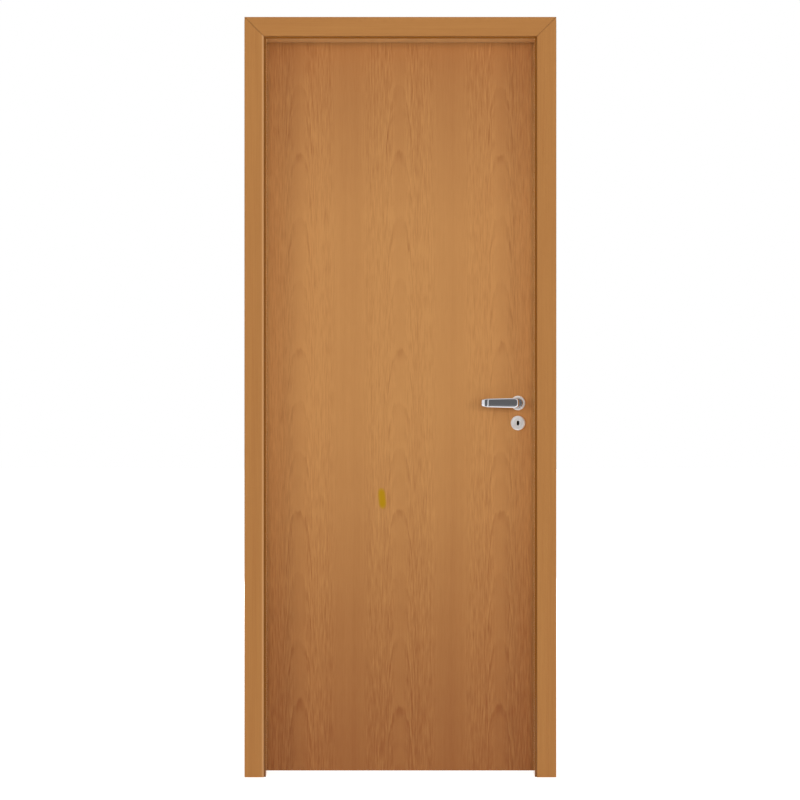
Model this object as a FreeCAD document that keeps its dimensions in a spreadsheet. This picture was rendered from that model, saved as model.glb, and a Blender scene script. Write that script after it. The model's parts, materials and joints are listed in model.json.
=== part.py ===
"""A flush hollow core door in its lining, with casings, hinges, mortise lock and lever handles.

Millimetres, +Z up, +X towards the lock side and +Y the way the door opens. The origin is on the
hinge jamb's wall face, at its foot and at the middle of the lining's depth.
"""
import FreeCAD, Part
import math
import os
import Sketcher

# Driving dimensions

SIZES = [
    ("leaf_width", 785.0, "door leaf, edge to edge"),
    ("leaf_height", 2100.0, "door leaf, foot to top"),
    ("leaf_thickness", 35.0, "door leaf, face to face"),
    ("leaf_gap", 6.0, "air between the leaf's edges and the lining"),
    ("floor_gap", 6.0, "air under the leaf"),
    ("stop_gap", 5.0, "between the leaf's face and the stop, filled by the seal"),
    ("jamb_thickness", 18.0, "lining board"),
    ("jamb_depth", 140.0, "lining board, from face to face of the wall"),
    ("stop_thickness", 17.0, "stop board, which makes the rebate"),
    ("stop_edge_radius", 1.5, "eased front edge of the stop board"),
    ("casing_width", 55.0, "front casing"),
    ("casing_thickness", 10.0, "front and back casing"),
    ("casing_reveal", 5.5, "step from the stop's inner face to the front casing"),
    ("casing_inner_radius", 4.0, "rounded inner edge of a casing"),
    ("casing_outer_radius", 2.0, "rounded outer edge of a casing"),
    ("back_casing_width", 45.0, "back casing"),
    ("back_casing_reveal", 6.0, "step from the rebate's face to the back casing"),
    ("mitre_gap", 0.4, "hairline between two mitred casings"),
    ("seal_groove_width", 3.0, "groove in the stop that holds the seal's stem"),
    ("seal_groove_depth", 6.0, "groove in the stop that holds the seal's stem"),
    ("seal_inset", 4.5, "from the stop's inner face to the middle of the seal"),
    ("seal_clearance", 0.3, "between the seal's bulb and the closed leaf"),
    ("seal_wall", 0.8, "wall of the seal's hollow bulb"),
    ("seal_stem_drop", 1.4, "from the bulb's middle down to the top of the stem"),
    ("hinge_length", 90.0, "butt hinge, height"),
    ("hinge_plate_width", 30.0, "butt hinge, plate let into the wood"),
    ("hinge_plate_thickness", 2.5, "butt hinge, plate and knuckle wall"),
    ("hinge_axis_setback", 7.0, "from the leaf's back face to the hinge pin"),
    ("hinge_knuckle_gap", 0.4, "between neighbouring knuckles"),
    ("hinge_pin_clearance", 0.05, "between the pin and the frame knuckles"),
    ("hinge_top_distance", 180.0, "from the leaf's top to the top hinge"),
    ("hinge_foot_distance", 230.0, "from the leaf's foot to the bottom hinge"),
    ("skin_thickness", 3.0, "veneered face board"),
    ("stile_width", 35.0, "upright of the leaf's inner frame"),
    ("rail_height", 45.0, "cross piece of the leaf's inner frame"),
    ("lock_block_width", 75.0, "solid block beside the lock stile"),
    ("lock_block_height", 300.0, "solid block beside the lock stile"),
    ("core_cell", 190.0, "honeycomb cell, flat to flat"),
    ("core_wall", 3.0, "honeycomb cell wall"),
    ("lever_height", 1061.0, "from the floor to the lever's spindle"),
    ("backset", 55.0, "from the leaf's lock edge to the spindle"),
    ("key_distance", 57.5, "from the spindle down to the keyhole"),
    ("case_height", 165.0, "mortise lock case"),
    ("case_depth", 80.0, "mortise lock case, behind its forend"),
    ("case_thickness", 14.0, "mortise lock case"),
    ("case_clearance", 0.5, "between the lock case and its mortise"),
    ("forend_height", 215.0, "lock forend on the leaf's edge"),
    ("forend_width", 22.0, "lock forend on the leaf's edge"),
    ("forend_thickness", 2.5, "lock forend on the leaf's edge"),
    ("bolt_thickness", 9.0, "latch bolt and dead bolt"),
    ("latch_height", 18.0, "latch bolt"),
    ("dead_bolt_height", 30.0, "dead bolt"),
    ("bolt_length", 30.0, "latch bolt and dead bolt, front to tail"),
    ("bolt_clearance", 0.5, "around either bolt, and around them in the strike"),
    ("strike_thickness", 2.0, "strike plate in the lock jamb"),
    ("strike_margin", 14.0, "strike plate, above and below its holes"),
    ("strike_width", 26.0, "strike plate"),
    ("strike_play", 2.0, "strike holes, around the bolts"),
    ("mortise_depth", 13.0, "bolt mortises in the lock jamb, from the rebate's face"),
    ("rose_radius", 21.0, "rose and escutcheon"),
    ("rose_thickness", 8.0, "rose and escutcheon"),
    ("rose_edge_bevel", 1.0, "bevelled rim of the rose and escutcheon"),
    ("collar_radius", 13.5, "lever's round collar inside its rose"),
    ("collar_height", 4.0, "lever's round collar above its rose"),
    ("collar_clearance", 0.5, "between the collar and the rose"),
    ("collar_seat", 5.0, "how deep the collar reaches into the rose"),
    ("keyhole_width", 7.0, "keyhole slot"),
    ("keyhole_height", 14.0, "keyhole slot"),
    ("skin_hole_radius", 11.0, "hole in a skin behind the rose or escutcheon"),
    ("spindle_side", 8.0, "square spindle"),
    ("spindle_seat", 20.0, "how deep the spindle reaches into either lever"),
    ("spindle_hole_radius", 6.2, "spindle's hole in the lock case"),
    ("lever_reach", 107.5, "from the spindle to the lever's tip"),
    ("lever_projection", 55.0, "from the leaf's face to the lever's front"),
    ("lever_section_height", 28.5, "lever's section, upright"),
    ("lever_section_depth", 18.0, "lever's section, front to back"),
    ("lever_section_ease", 5.0, "eased corners of the lever's section"),
    ("lever_bend_radius", 18.0, "bend from the neck into the handle, at the section's middle"),
    ("lever_tip_bend_radius", 15.0, "bend at the tip, back to the leaf, at the section's middle"),
    ("lever_return", 5.0, "straight end after the tip's bend"),
    ("lever_end_bevel", 3.0, "bevelled end of the lever"),
]

document = FreeCAD.newDocument("flush_door")
sheet = document.addObject("Spreadsheet::Sheet", "Sizes")
for row, (alias, value, note) in enumerate(SIZES, start=1):
    sheet.set(f"A{row}", note)
    sheet.set(f"B{row}", str(value))
    sheet.setAlias(f"B{row}", alias)
document.recompute()


def size(alias):
    """The value of one driving dimension."""
    return float(sheet.get(alias))


def value_of(formula):
    """The present value of a formula of the driving dimensions."""
    value = sheet.evalExpression(formula)
    return float(getattr(value, "Value", value))


# Derived places, as formulas of the driving dimensions

HALF_DEPTH = "Sizes.jamb_depth / 2"
STOP_INNER = "(Sizes.jamb_thickness + Sizes.stop_thickness)"
REBATE_WIDTH = "(Sizes.leaf_width + 2 * Sizes.leaf_gap)"
LEAF_LEFT = "(Sizes.jamb_thickness + Sizes.leaf_gap)"
LEAF_RIGHT = f"({LEAF_LEFT} + Sizes.leaf_width)"
LEAF_TOP = "(Sizes.floor_gap + Sizes.leaf_height)"
LEAF_BACK = f"({HALF_DEPTH})"
LEAF_FRONT = f"({HALF_DEPTH} - Sizes.leaf_thickness)"
LEAF_MIDDLE = f"({HALF_DEPTH} - Sizes.leaf_thickness / 2)"
STOP_FACE = f"({LEAF_FRONT} - Sizes.stop_gap)"
HEAD_REBATE = f"({LEAF_TOP} + Sizes.leaf_gap)"
OPENING_TOP = f"({HEAD_REBATE} - Sizes.stop_thickness)"
FRAME_WIDTH = f"({REBATE_WIDTH} + 2 * Sizes.jamb_thickness)"
FRAME_TOP = f"({HEAD_REBATE} + Sizes.jamb_thickness)"
SPINDLE_X = f"({LEAF_RIGHT} - Sizes.backset)"
KEY_HEIGHT = "(Sizes.lever_height - Sizes.key_distance)"
LOCK_MIDDLE = "(Sizes.lever_height - Sizes.key_distance / 2)"
HINGE_AXIS_X = "(Sizes.jamb_thickness + Sizes.leaf_gap / 2)"
HINGE_AXIS_Y = f"({HALF_DEPTH} + Sizes.hinge_axis_setback)"
HINGE_TOP = f"({LEAF_TOP} - Sizes.hinge_top_distance - Sizes.hinge_length)"
HINGE_BOTTOM = "(Sizes.floor_gap + Sizes.hinge_foot_distance)"
HINGE_PLACES = {
    "top": HINGE_TOP,
    "middle": f"(({HINGE_TOP} + {HINGE_BOTTOM}) / 2)",
    "bottom": HINGE_BOTTOM,
}
KNUCKLE_RADIUS = "(Sizes.leaf_gap / 2 + Sizes.hinge_plate_thickness)"
KNUCKLES = 3
RIGHT_THROUGH = "4 * Sizes.jamb_depth"
TOLERANCE = 1e-3
ALIGNED = 0.999

# Sketch and feature helpers

SUBPARTS = []


def new_body(label):
    """An empty body, kept as a sub-part of its own."""
    body = document.addObject("PartDesign::Body", label)
    body.Label = label
    SUBPARTS.append(body)
    return body


def new_sketch(body, role, lift="0", lift_sign=1):
    """A sketch on one of the body's origin planes, lifted along that plane's normal."""
    sketch = body.newObject("Sketcher::SketchObject", f"{body.Name}_sketch")
    plane = next(f for f in body.Origin.OriginFeatures if f.Role == role)
    sketch.AttachmentSupport = [(plane, "")]
    sketch.MapMode = "FlatFace"
    if lift != "0":
        sign = "-" if lift_sign < 0 else ""
        sketch.setExpression("AttachmentOffset.Base.z", f"{sign}({lift})")
    return sketch


def bind(sketch, kind, arguments, formula):
    """One dimension of a sketch, tied to a formula."""
    index = sketch.addConstraint(Sketcher.Constraint(kind, *arguments, value_of(formula)))
    sketch.setExpression(f"Constraints[{index}]", formula)


def add_outline(sketch, corners):
    """A closed outline of straight edges through corners given as pairs of formulas."""
    first = sketch.GeometryCount
    count = len(corners)
    points = [FreeCAD.Vector(value_of(across), value_of(up), 0) for across, up in corners]
    for index in range(count):
        sketch.addGeometry(Part.LineSegment(points[index], points[(index + 1) % count]), False)
    for index in range(count):
        following = first + (index + 1) % count
        sketch.addConstraint(Sketcher.Constraint("Coincident", first + index, 2, following, 1))
    for index, (across, up) in enumerate(corners):
        bind(sketch, "DistanceX", (-1, 1, first + index, 1), across)
        bind(sketch, "DistanceY", (-1, 1, first + index, 1), up)


def add_rectangle(sketch, low, high):
    """A rectangle between two corners given as pairs of formulas."""
    add_outline(sketch, [low, (high[0], low[1]), high, (low[0], high[1])])


def add_circle(sketch, radius, centre=None):
    """A circle about the sketch's origin or about a centre given as a pair of formulas."""
    first = sketch.GeometryCount
    across, up = (0, 0) if centre is None else (value_of(centre[0]), value_of(centre[1]))
    middle = FreeCAD.Vector(across, up, 0)
    sketch.addGeometry(Part.Circle(middle, FreeCAD.Vector(0, 0, 1), value_of(radius)), False)
    if centre is None:
        sketch.addConstraint(Sketcher.Constraint("Coincident", first, 3, -1, 1))
    else:
        bind(sketch, "DistanceX", (-1, 1, first, 3), centre[0])
        bind(sketch, "DistanceY", (-1, 1, first, 3), centre[1])
    bind(sketch, "Radius", (first,), radius)


def settle(feature):
    """Recomputes the document and stops if the new feature failed."""
    document.recompute()
    if "Invalid" in feature.State or "Error" in feature.State:
        raise RuntimeError(f"{feature.Name} failed: {feature.State}")


def pad(body, sketch, length, back=False, both=False):
    """Material along the sketch's normal, against it, or half each way."""
    feature = body.newObject("PartDesign::Pad", f"{body.Name}_pad")
    feature.Profile = sketch
    feature.setExpression("Length", length)
    feature.Reversed = back
    feature.Midplane = both
    feature.Refine = False
    settle(feature)
    return feature


def pocket(body, sketch, depth=None, back=False, both=False):
    """A cut along or against the sketch's normal, to a depth or right through both ways."""
    before = body.Shape.Volume
    feature = body.newObject("PartDesign::Pocket", f"{body.Name}_pocket")
    feature.Profile = sketch
    if depth is None:
        feature.Type = "ThroughAll"
    else:
        feature.setExpression("Length", depth)
    feature.Reversed = back
    feature.Midplane = both
    settle(feature)
    if not body.Shape.Volume < before - TOLERANCE:
        raise RuntimeError(f"{feature.Name} cuts nothing")
    return feature


def box_body(label, low, high):
    """A plain board between two corners given as triples of formulas."""
    body = new_body(label)
    sketch = new_sketch(body, "XY_Plane", low[2])
    add_rectangle(sketch, low[:2], high[:2])
    pad(body, sketch, f"({high[2]}) - ({low[2]})")
    return body


def straight_edges(shape, direction, *tests):
    """Names of the shape's straight edges along a direction whose middles pass every test."""
    names = []
    for index, edge in enumerate(shape.Edges, start=1):
        if edge.Curve.TypeId != "Part::GeomLine":
            continue
        if abs(edge.Curve.Direction.dot(direction)) < ALIGNED:
            continue
        middle = edge.CenterOfMass
        if all(test(middle) for test in tests):
            names.append(f"Edge{index}")
    return names


def round_edges(body, names, radius):
    """A fillet of the named edges of the body's last feature."""
    feature = body.newObject("PartDesign::Fillet", f"{body.Name}_fillet")
    feature.Base = (body.Tip if body.Tip != feature else feature.BaseFeature, names)
    feature.setExpression("Radius", radius)
    settle(feature)
    return feature


def bevel_edges(body, names, length):
    """A chamfer of the named edges of the body's last feature."""
    base = body.Tip
    feature = body.newObject("PartDesign::Chamfer", f"{body.Name}_bevel")
    feature.Base = (base, names)
    feature.setExpression("Size", length)
    settle(feature)
    return feature


def near(value, target):
    """Whether two lengths agree to a thousandth of a millimetre."""
    return abs(value - target) < TOLERANCE


def mirrored(formula, lock_side):
    """The same place on the hinge side, or its mirror image on the lock side."""
    return f"({FRAME_WIDTH} - ({formula}))" if lock_side else f"({formula})"


UP = FreeCAD.Vector(0, 0, 1)
ACROSS = FreeCAD.Vector(1, 0, 0)

# Lining boards


def make_jamb(label, lock_side):
    """An upright lining board, from the floor to the underside of the head board."""
    body = new_body(label)
    sketch = new_sketch(body, "XY_Plane")
    wall_face = mirrored("0", lock_side)
    rebate_face = mirrored("Sizes.jamb_thickness", lock_side)
    add_rectangle(sketch, (wall_face, f"-({HALF_DEPTH})"), (rebate_face, HALF_DEPTH))
    pad(body, sketch, HEAD_REBATE)
    return body


def cut_hinge_recesses(body, face, into_lock_side):
    """Recesses for the three hinge plates in an upright face."""
    sketch = new_sketch(body, "YZ_Plane", face)
    for foot in HINGE_PLACES.values():
        inner = f"{HALF_DEPTH} - Sizes.hinge_plate_width"
        add_rectangle(sketch, (inner, foot), (HALF_DEPTH, f"{foot} + Sizes.hinge_length"))
    pocket(body, sketch, "Sizes.hinge_plate_thickness", back=into_lock_side)


def cut_strike_mortises(body):
    """The strike plate's recess and the two bolt mortises in the lock jamb."""
    rebate_face = mirrored("Sizes.jamb_thickness", True)
    recess = new_sketch(body, "YZ_Plane", rebate_face)
    add_rectangle(recess, *strike_outline())
    pocket(body, recess, "Sizes.strike_thickness", back=True)
    mortises = new_sketch(body, "YZ_Plane", rebate_face)
    for low, high in strike_holes():
        add_rectangle(mortises, low, high)
    pocket(body, mortises, "Sizes.mortise_depth", back=True)


def strike_holes():
    """Corners of the strike's latch hole and dead bolt hole, across the depth and up."""
    half_width = "(Sizes.bolt_thickness / 2 + Sizes.strike_play)"
    holes = []
    bolts = (("Sizes.lever_height", "Sizes.latch_height"), (KEY_HEIGHT, "Sizes.dead_bolt_height"))
    for height, bolt in bolts:
        half_height = f"({bolt} / 2 + Sizes.strike_play)"
        low = (f"{LEAF_MIDDLE} - {half_width}", f"{height} - {half_height}")
        high = (f"{LEAF_MIDDLE} + {half_width}", f"{height} + {half_height}")
        holes.append((low, high))
    return holes


def strike_outline():
    """Corners of the strike plate, across the depth and up."""
    latch, bolt = strike_holes()
    low = (f"{LEAF_MIDDLE} - Sizes.strike_width / 2", f"{bolt[0][1]} - Sizes.strike_margin")
    high = (f"{LEAF_MIDDLE} + Sizes.strike_width / 2", f"{latch[1][1]} + Sizes.strike_margin")
    return low, high


hinge_jamb = make_jamb("hinge_jamb", lock_side=False)
cut_hinge_recesses(hinge_jamb, "Sizes.jamb_thickness", into_lock_side=False)
lock_jamb = make_jamb("lock_jamb", lock_side=True)
cut_strike_mortises(lock_jamb)
box_body("head_jamb", ("0", f"-({HALF_DEPTH})", HEAD_REBATE), (FRAME_WIDTH, HALF_DEPTH, FRAME_TOP))

# Stop boards, each with a groove for the seal


def stop_profile(wall_side, inner_side, toward_opening):
    """A stop board's cross section as pairs of across and depth formulas."""
    sign = "-" if toward_opening > 0 else "+"
    other = "+" if toward_opening > 0 else "-"
    middle = f"({inner_side} {sign} Sizes.seal_inset)"
    groove_near = f"{middle} {other} Sizes.seal_groove_width / 2"
    groove_far = f"{middle} {sign} Sizes.seal_groove_width / 2"
    groove_floor = f"{STOP_FACE} - Sizes.seal_groove_depth"
    return [
        (wall_side, f"-({HALF_DEPTH})"),
        (inner_side, f"-({HALF_DEPTH})"),
        (inner_side, STOP_FACE),
        (groove_near, STOP_FACE),
        (groove_near, groove_floor),
        (groove_far, groove_floor),
        (groove_far, STOP_FACE),
        (wall_side, STOP_FACE),
    ]


def make_side_stop(label, lock_side):
    """An upright stop board, from the floor to the underside of the head stop."""
    body = new_body(label)
    sketch = new_sketch(body, "XY_Plane")
    wall_side = mirrored("Sizes.jamb_thickness", lock_side)
    inner_side = mirrored(STOP_INNER, lock_side)
    add_outline(sketch, stop_profile(wall_side, inner_side, -1 if lock_side else 1))
    pad(body, sketch, OPENING_TOP)
    inner_x = size("jamb_thickness") + size("stop_thickness")
    if lock_side:
        inner_x = frame_width - inner_x
    front_y = -size("jamb_depth") / 2
    edges = straight_edges(body.Shape, UP, lambda p: near(p.x, inner_x), lambda p: near(p.y, front_y))
    round_edges(body, edges, "Sizes.stop_edge_radius")


def make_head_stop():
    """The stop board under the head, between the two jambs."""
    body = new_body("head_stop")
    sketch = new_sketch(body, "YZ_Plane", "Sizes.jamb_thickness")
    profile = stop_profile(HEAD_REBATE, OPENING_TOP, -1)
    add_outline(sketch, [(depth, height) for height, depth in profile])
    pad(body, sketch, REBATE_WIDTH)
    opening_top = size("floor_gap") + size("leaf_height") + size("leaf_gap") - size("stop_thickness")
    front_y = -size("jamb_depth") / 2
    edges = straight_edges(
        body.Shape, ACROSS, lambda p: near(p.z, opening_top), lambda p: near(p.y, front_y)
    )
    round_edges(body, edges, "Sizes.stop_edge_radius")


frame_width = size("leaf_width") + 2 * size("leaf_gap") + 2 * size("jamb_thickness")
make_side_stop("hinge_stop", lock_side=False)
make_side_stop("lock_stop", lock_side=True)
make_head_stop()

# Seals, each a stem in the groove and a hollow bulb against the closed leaf

BULB_RADIUS = "((Sizes.stop_gap - Sizes.seal_clearance) / 2)"
BULB_MIDDLE = f"({STOP_FACE} + {BULB_RADIUS})"


def make_seal(label, role, start, length, middle, upright):
    """One seal strip along a stop board."""
    body = new_body(label)
    half = "Sizes.seal_groove_width / 2"
    stem_low = (f"{middle} - {half}", f"{STOP_FACE} - Sizes.seal_groove_depth")
    stem_high = (f"{middle} + {half}", f"{BULB_MIDDLE} - Sizes.seal_stem_drop")
    centre = (middle, BULB_MIDDLE)
    if not upright:
        stem_low, stem_high, centre = stem_low[::-1], stem_high[::-1], centre[::-1]
    stem = new_sketch(body, role, start)
    add_rectangle(stem, stem_low, stem_high)
    pad(body, stem, length)
    bulb = new_sketch(body, role, start)
    add_circle(bulb, BULB_RADIUS, centre)
    pad(body, bulb, length)
    hollow = new_sketch(body, role, start)
    add_circle(hollow, f"{BULB_RADIUS} - Sizes.seal_wall", centre)
    pocket(body, hollow, length, back=True)


SEAL_PLACE = f"({STOP_INNER} - Sizes.seal_inset)"
make_seal("hinge_side_seal", "XY_Plane", "0", OPENING_TOP, SEAL_PLACE, upright=True)
make_seal("lock_side_seal", "XY_Plane", "0", OPENING_TOP, mirrored(SEAL_PLACE, True), upright=True)
HEAD_SEAL_PLACE = f"({OPENING_TOP} + Sizes.seal_inset)"
make_seal("head_seal", "YZ_Plane", "Sizes.jamb_thickness", REBATE_WIDTH, HEAD_SEAL_PLACE, upright=False)

# Casings, mitred at the head


class CasingRun:
    """Places of one mitred set of casings, on the front or the back of the lining."""

    def __init__(self, name, inner_x, inner_z, width, faces_front):
        self.name = name
        self.inner_x = inner_x
        self.inner_z = inner_z
        self.width = width
        self.outer_x = f"({inner_x} - {width})"
        self.outer_z = f"({inner_z} + {width})"
        self.faces_front = faces_front
        wall = f"-({HALF_DEPTH})" if faces_front else f"({HALF_DEPTH})"
        self.low_y = f"({wall} - Sizes.casing_thickness)" if faces_front else wall
        self.high_y = wall if faces_front else f"({wall} + Sizes.casing_thickness)"

    def show_face(self):
        """Depth of the face that shows."""
        face = size("jamb_depth") / 2 + size("casing_thickness")
        return -face if self.faces_front else face

    def make_side(self, lock_side):
        """An upright casing."""
        body = new_body(f"{self.name}_{'lock' if lock_side else 'hinge'}_casing")
        inner, outer = mirrored(self.inner_x, lock_side), mirrored(self.outer_x, lock_side)
        sketch = new_sketch(body, "XY_Plane")
        add_rectangle(sketch, (outer, self.low_y), (inner, self.high_y))
        pad(body, sketch, self.outer_z)
        self.round_long_edges(body, UP, lambda p: p.x, lock_side)
        gap = "Sizes.mitre_gap / 2"
        shifted = mirrored(f"{self.inner_x} - {gap}", lock_side)
        beyond = mirrored(f"{self.outer_x} - {gap} - {self.width}", lock_side)
        near_side = mirrored(f"{self.inner_x} + {self.width}", lock_side)
        self.cut_mitre(body, [
            (shifted, self.inner_z),
            (beyond, f"{self.outer_z} + {self.width}"),
            (near_side, f"{self.outer_z} + {self.width}"),
            (near_side, f"{self.inner_z} - {self.width} - {gap}"),
        ])

    def make_head(self):
        """The casing across the head."""
        body = new_body(f"{self.name}_head_casing")
        sketch = new_sketch(body, "YZ_Plane", self.outer_x)
        add_rectangle(sketch, (self.low_y, self.inner_z), (self.high_y, self.outer_z))
        pad(body, sketch, f"{FRAME_WIDTH} - 2 * {self.outer_x}")
        self.round_long_edges(body, ACROSS, lambda p: p.z, False)
        gap = "Sizes.mitre_gap / 2"
        below = f"{self.inner_z} - {self.width}"
        for lock_side in (False, True):
            under_mitre = mirrored(f"{self.inner_x} + {gap} + {self.width}", lock_side)
            over_mitre = mirrored(f"{self.outer_x} + {gap} - {self.width}", lock_side)
            beyond = mirrored(f"{self.outer_x} - 2 * {self.width}", lock_side)
            self.cut_mitre(body, [
                (under_mitre, below),
                (over_mitre, f"{self.outer_z} + {self.width}"),
                (beyond, below),
            ])

    def cut_mitre(self, body, corners):
        """A cut through the casing's whole thickness."""
        sketch = new_sketch(body, "XZ_Plane")
        add_outline(sketch, corners)
        pocket(body, sketch, RIGHT_THROUGH, both=True)

    def round_long_edges(self, body, direction, across, lock_side):
        """Rounds the two long edges of the face that shows."""
        on_face = straight_edges(body.Shape, direction, lambda p: near(p.y, self.show_face()))
        places = {name: across(body.Shape.getElement(name).CenterOfMass) for name in on_face}
        low, high = sorted(places, key=places.get)
        upright = direction == UP
        inner = high if upright and not lock_side else low
        outer = low if inner == high else high
        outer_place = body.Shape.getElement(outer).CenterOfMass
        round_edges(body, [inner], "Sizes.casing_inner_radius")
        outer_now = straight_edges(
            body.Shape, direction,
            lambda p: near(p.y, outer_place.y), lambda p: near(across(p), across(outer_place)),
        )
        round_edges(body, outer_now, "Sizes.casing_outer_radius")

    def make(self):
        """The two sides and the head."""
        self.make_side(False)
        self.make_side(True)
        self.make_head()


FRONT_INNER_X = f"({STOP_INNER} - Sizes.casing_reveal)"
FRONT_INNER_Z = f"({OPENING_TOP} + Sizes.casing_reveal)"
BACK_INNER_X = "(Sizes.jamb_thickness - Sizes.back_casing_reveal)"
BACK_INNER_Z = f"({HEAD_REBATE} + Sizes.back_casing_reveal)"
CasingRun("front", FRONT_INNER_X, FRONT_INNER_Z, "Sizes.casing_width", True).make()
CasingRun("back", BACK_INNER_X, BACK_INNER_Z, "Sizes.back_casing_width", False).make()

# Butt hinges, drawn about the pin and then placed


def make_hinge_half(label, foot, on_door):
    """One hinge plate with its share of the knuckles; the door's half carries the flush pin."""
    body = new_body(label)
    side = 1 if on_door else -1
    sign = "" if side > 0 else "-"
    plate = new_sketch(body, "XY_Plane")
    inner_face = f"{sign}Sizes.leaf_gap / 2"
    outer_face = f"{sign}{KNUCKLE_RADIUS}"
    far_edge = "-(Sizes.hinge_axis_setback + Sizes.hinge_plate_width)"
    add_rectangle(plate, (inner_face, far_edge), (outer_face, "-Sizes.leaf_gap / 4"))
    pad(body, plate, "Sizes.hinge_length")
    barrel = new_sketch(body, "XY_Plane")
    add_circle(barrel, KNUCKLE_RADIUS)
    pad(body, barrel, "Sizes.hinge_length")
    knuckle = f"Sizes.hinge_length / {KNUCKLES}"
    half_gap = "Sizes.hinge_knuckle_gap / 2"
    for index in range(0 if on_door else 1, KNUCKLES, 2):
        lift = f"{index} * {knuckle} - {half_gap}"
        ring = new_sketch(body, "XY_Plane", lift)
        add_circle(ring, f"{KNUCKLE_RADIUS} + Sizes.hinge_knuckle_gap")
        pocket(body, ring, f"{knuckle} + Sizes.hinge_knuckle_gap", back=True)
    if on_door:
        pin = new_sketch(body, "XY_Plane")
        add_circle(pin, "Sizes.leaf_gap / 2 - Sizes.hinge_pin_clearance")
        pad(body, pin, "Sizes.hinge_length")
    else:
        bore = new_sketch(body, "XY_Plane")
        add_circle(bore, "Sizes.leaf_gap / 2")
        pocket(body, bore, "Sizes.hinge_length", back=True)
    body.setExpression("Placement.Base.x", HINGE_AXIS_X)
    body.setExpression("Placement.Base.y", HINGE_AXIS_Y)
    body.setExpression("Placement.Base.z", foot)


for place, foot in HINGE_PLACES.items():
    make_hinge_half(f"{place}_hinge_jamb_plate", foot, on_door=False)
    make_hinge_half(f"{place}_hinge_door_plate", foot, on_door=True)

# Strike plate

strike_plate = new_body("strike_plate")
strike_face = f"({FRAME_WIDTH} - Sizes.jamb_thickness)"
strike_sketch = new_sketch(strike_plate, "YZ_Plane", strike_face)
add_rectangle(strike_sketch, *strike_outline())
for hole_low, hole_high in strike_holes():
    add_rectangle(strike_sketch, hole_low, hole_high)
pad(strike_plate, strike_sketch, "Sizes.strike_thickness")

# Door leaf


def make_skin(label, low_y, toward_back):
    """A veneered face board with the holes behind the rose and the escutcheon."""
    body = new_body(label)
    sketch = new_sketch(body, "XZ_Plane", low_y, lift_sign=-1)
    add_rectangle(sketch, (LEAF_LEFT, "Sizes.floor_gap"), (LEAF_RIGHT, LEAF_TOP))
    add_circle(sketch, "Sizes.skin_hole_radius", (SPINDLE_X, "Sizes.lever_height"))
    add_circle(sketch, "Sizes.skin_hole_radius", (SPINDLE_X, KEY_HEIGHT))
    pad(body, sketch, "Sizes.skin_thickness", back=toward_back)


INNER_FRONT = f"({LEAF_FRONT} + Sizes.skin_thickness)"
INNER_BACK = f"({LEAF_BACK} - Sizes.skin_thickness)"
STILE_INNER_LEFT = f"({LEAF_LEFT} + Sizes.stile_width)"
STILE_INNER_RIGHT = f"({LEAF_RIGHT} - Sizes.stile_width)"
BLOCK_LEFT = f"({STILE_INNER_RIGHT} - Sizes.lock_block_width)"
BLOCK_FOOT = f"({LOCK_MIDDLE} - Sizes.lock_block_height / 2)"
BLOCK_TOP = f"({LOCK_MIDDLE} + Sizes.lock_block_height / 2)"

make_skin("front_skin", LEAF_FRONT, toward_back=True)
make_skin("back_skin", INNER_BACK, toward_back=True)

hinge_stile = box_body(
    "hinge_stile", (LEAF_LEFT, INNER_FRONT, "Sizes.floor_gap"), (STILE_INNER_LEFT, INNER_BACK, LEAF_TOP)
)
box_body(
    "top_rail",
    (STILE_INNER_LEFT, INNER_FRONT, f"{LEAF_TOP} - Sizes.rail_height"),
    (STILE_INNER_RIGHT, INNER_BACK, LEAF_TOP),
)
box_body(
    "bottom_rail",
    (STILE_INNER_LEFT, INNER_FRONT, "Sizes.floor_gap"),
    (STILE_INNER_RIGHT, INNER_BACK, "Sizes.floor_gap + Sizes.rail_height"),
)
lock_stile = box_body(
    "lock_stile", (STILE_INNER_RIGHT, INNER_FRONT, "Sizes.floor_gap"), (LEAF_RIGHT, INNER_BACK, LEAF_TOP)
)
lock_block = box_body(
    "lock_block", (BLOCK_LEFT, INNER_FRONT, BLOCK_FOOT), (STILE_INNER_RIGHT, INNER_BACK, BLOCK_TOP)
)


def cut_leaf_hinge_recesses(body, outer_depth):
    """Recesses for the three hinge plates in the leaf's hinge edge."""
    sketch = new_sketch(body, "YZ_Plane", LEAF_LEFT)
    for foot in HINGE_PLACES.values():
        inner = f"{HALF_DEPTH} - Sizes.hinge_plate_width"
        add_rectangle(sketch, (inner, foot), (outer_depth, f"{foot} + Sizes.hinge_length"))
    pocket(body, sketch, "Sizes.hinge_plate_thickness", back=True)


cut_leaf_hinge_recesses(hinge_stile, INNER_BACK)
cut_leaf_hinge_recesses(document.getObject("back_skin"), HALF_DEPTH)

# Honeycomb core, computed because its cells are cut off along every edge of the leaf


def hexagon(centre_x, centre_z, depth, across_flats):
    """A hexagonal face with two upright sides."""
    corner_reach = across_flats / math.sqrt(3)
    corners = []
    for index in range(7):
        angle = math.radians(30 + 60 * index)
        x = centre_x + corner_reach * math.cos(angle)
        z = centre_z + corner_reach * math.sin(angle)
        corners.append(FreeCAD.Vector(x, depth, z))
    return Part.Face(Part.makePolygon(corners))


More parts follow.
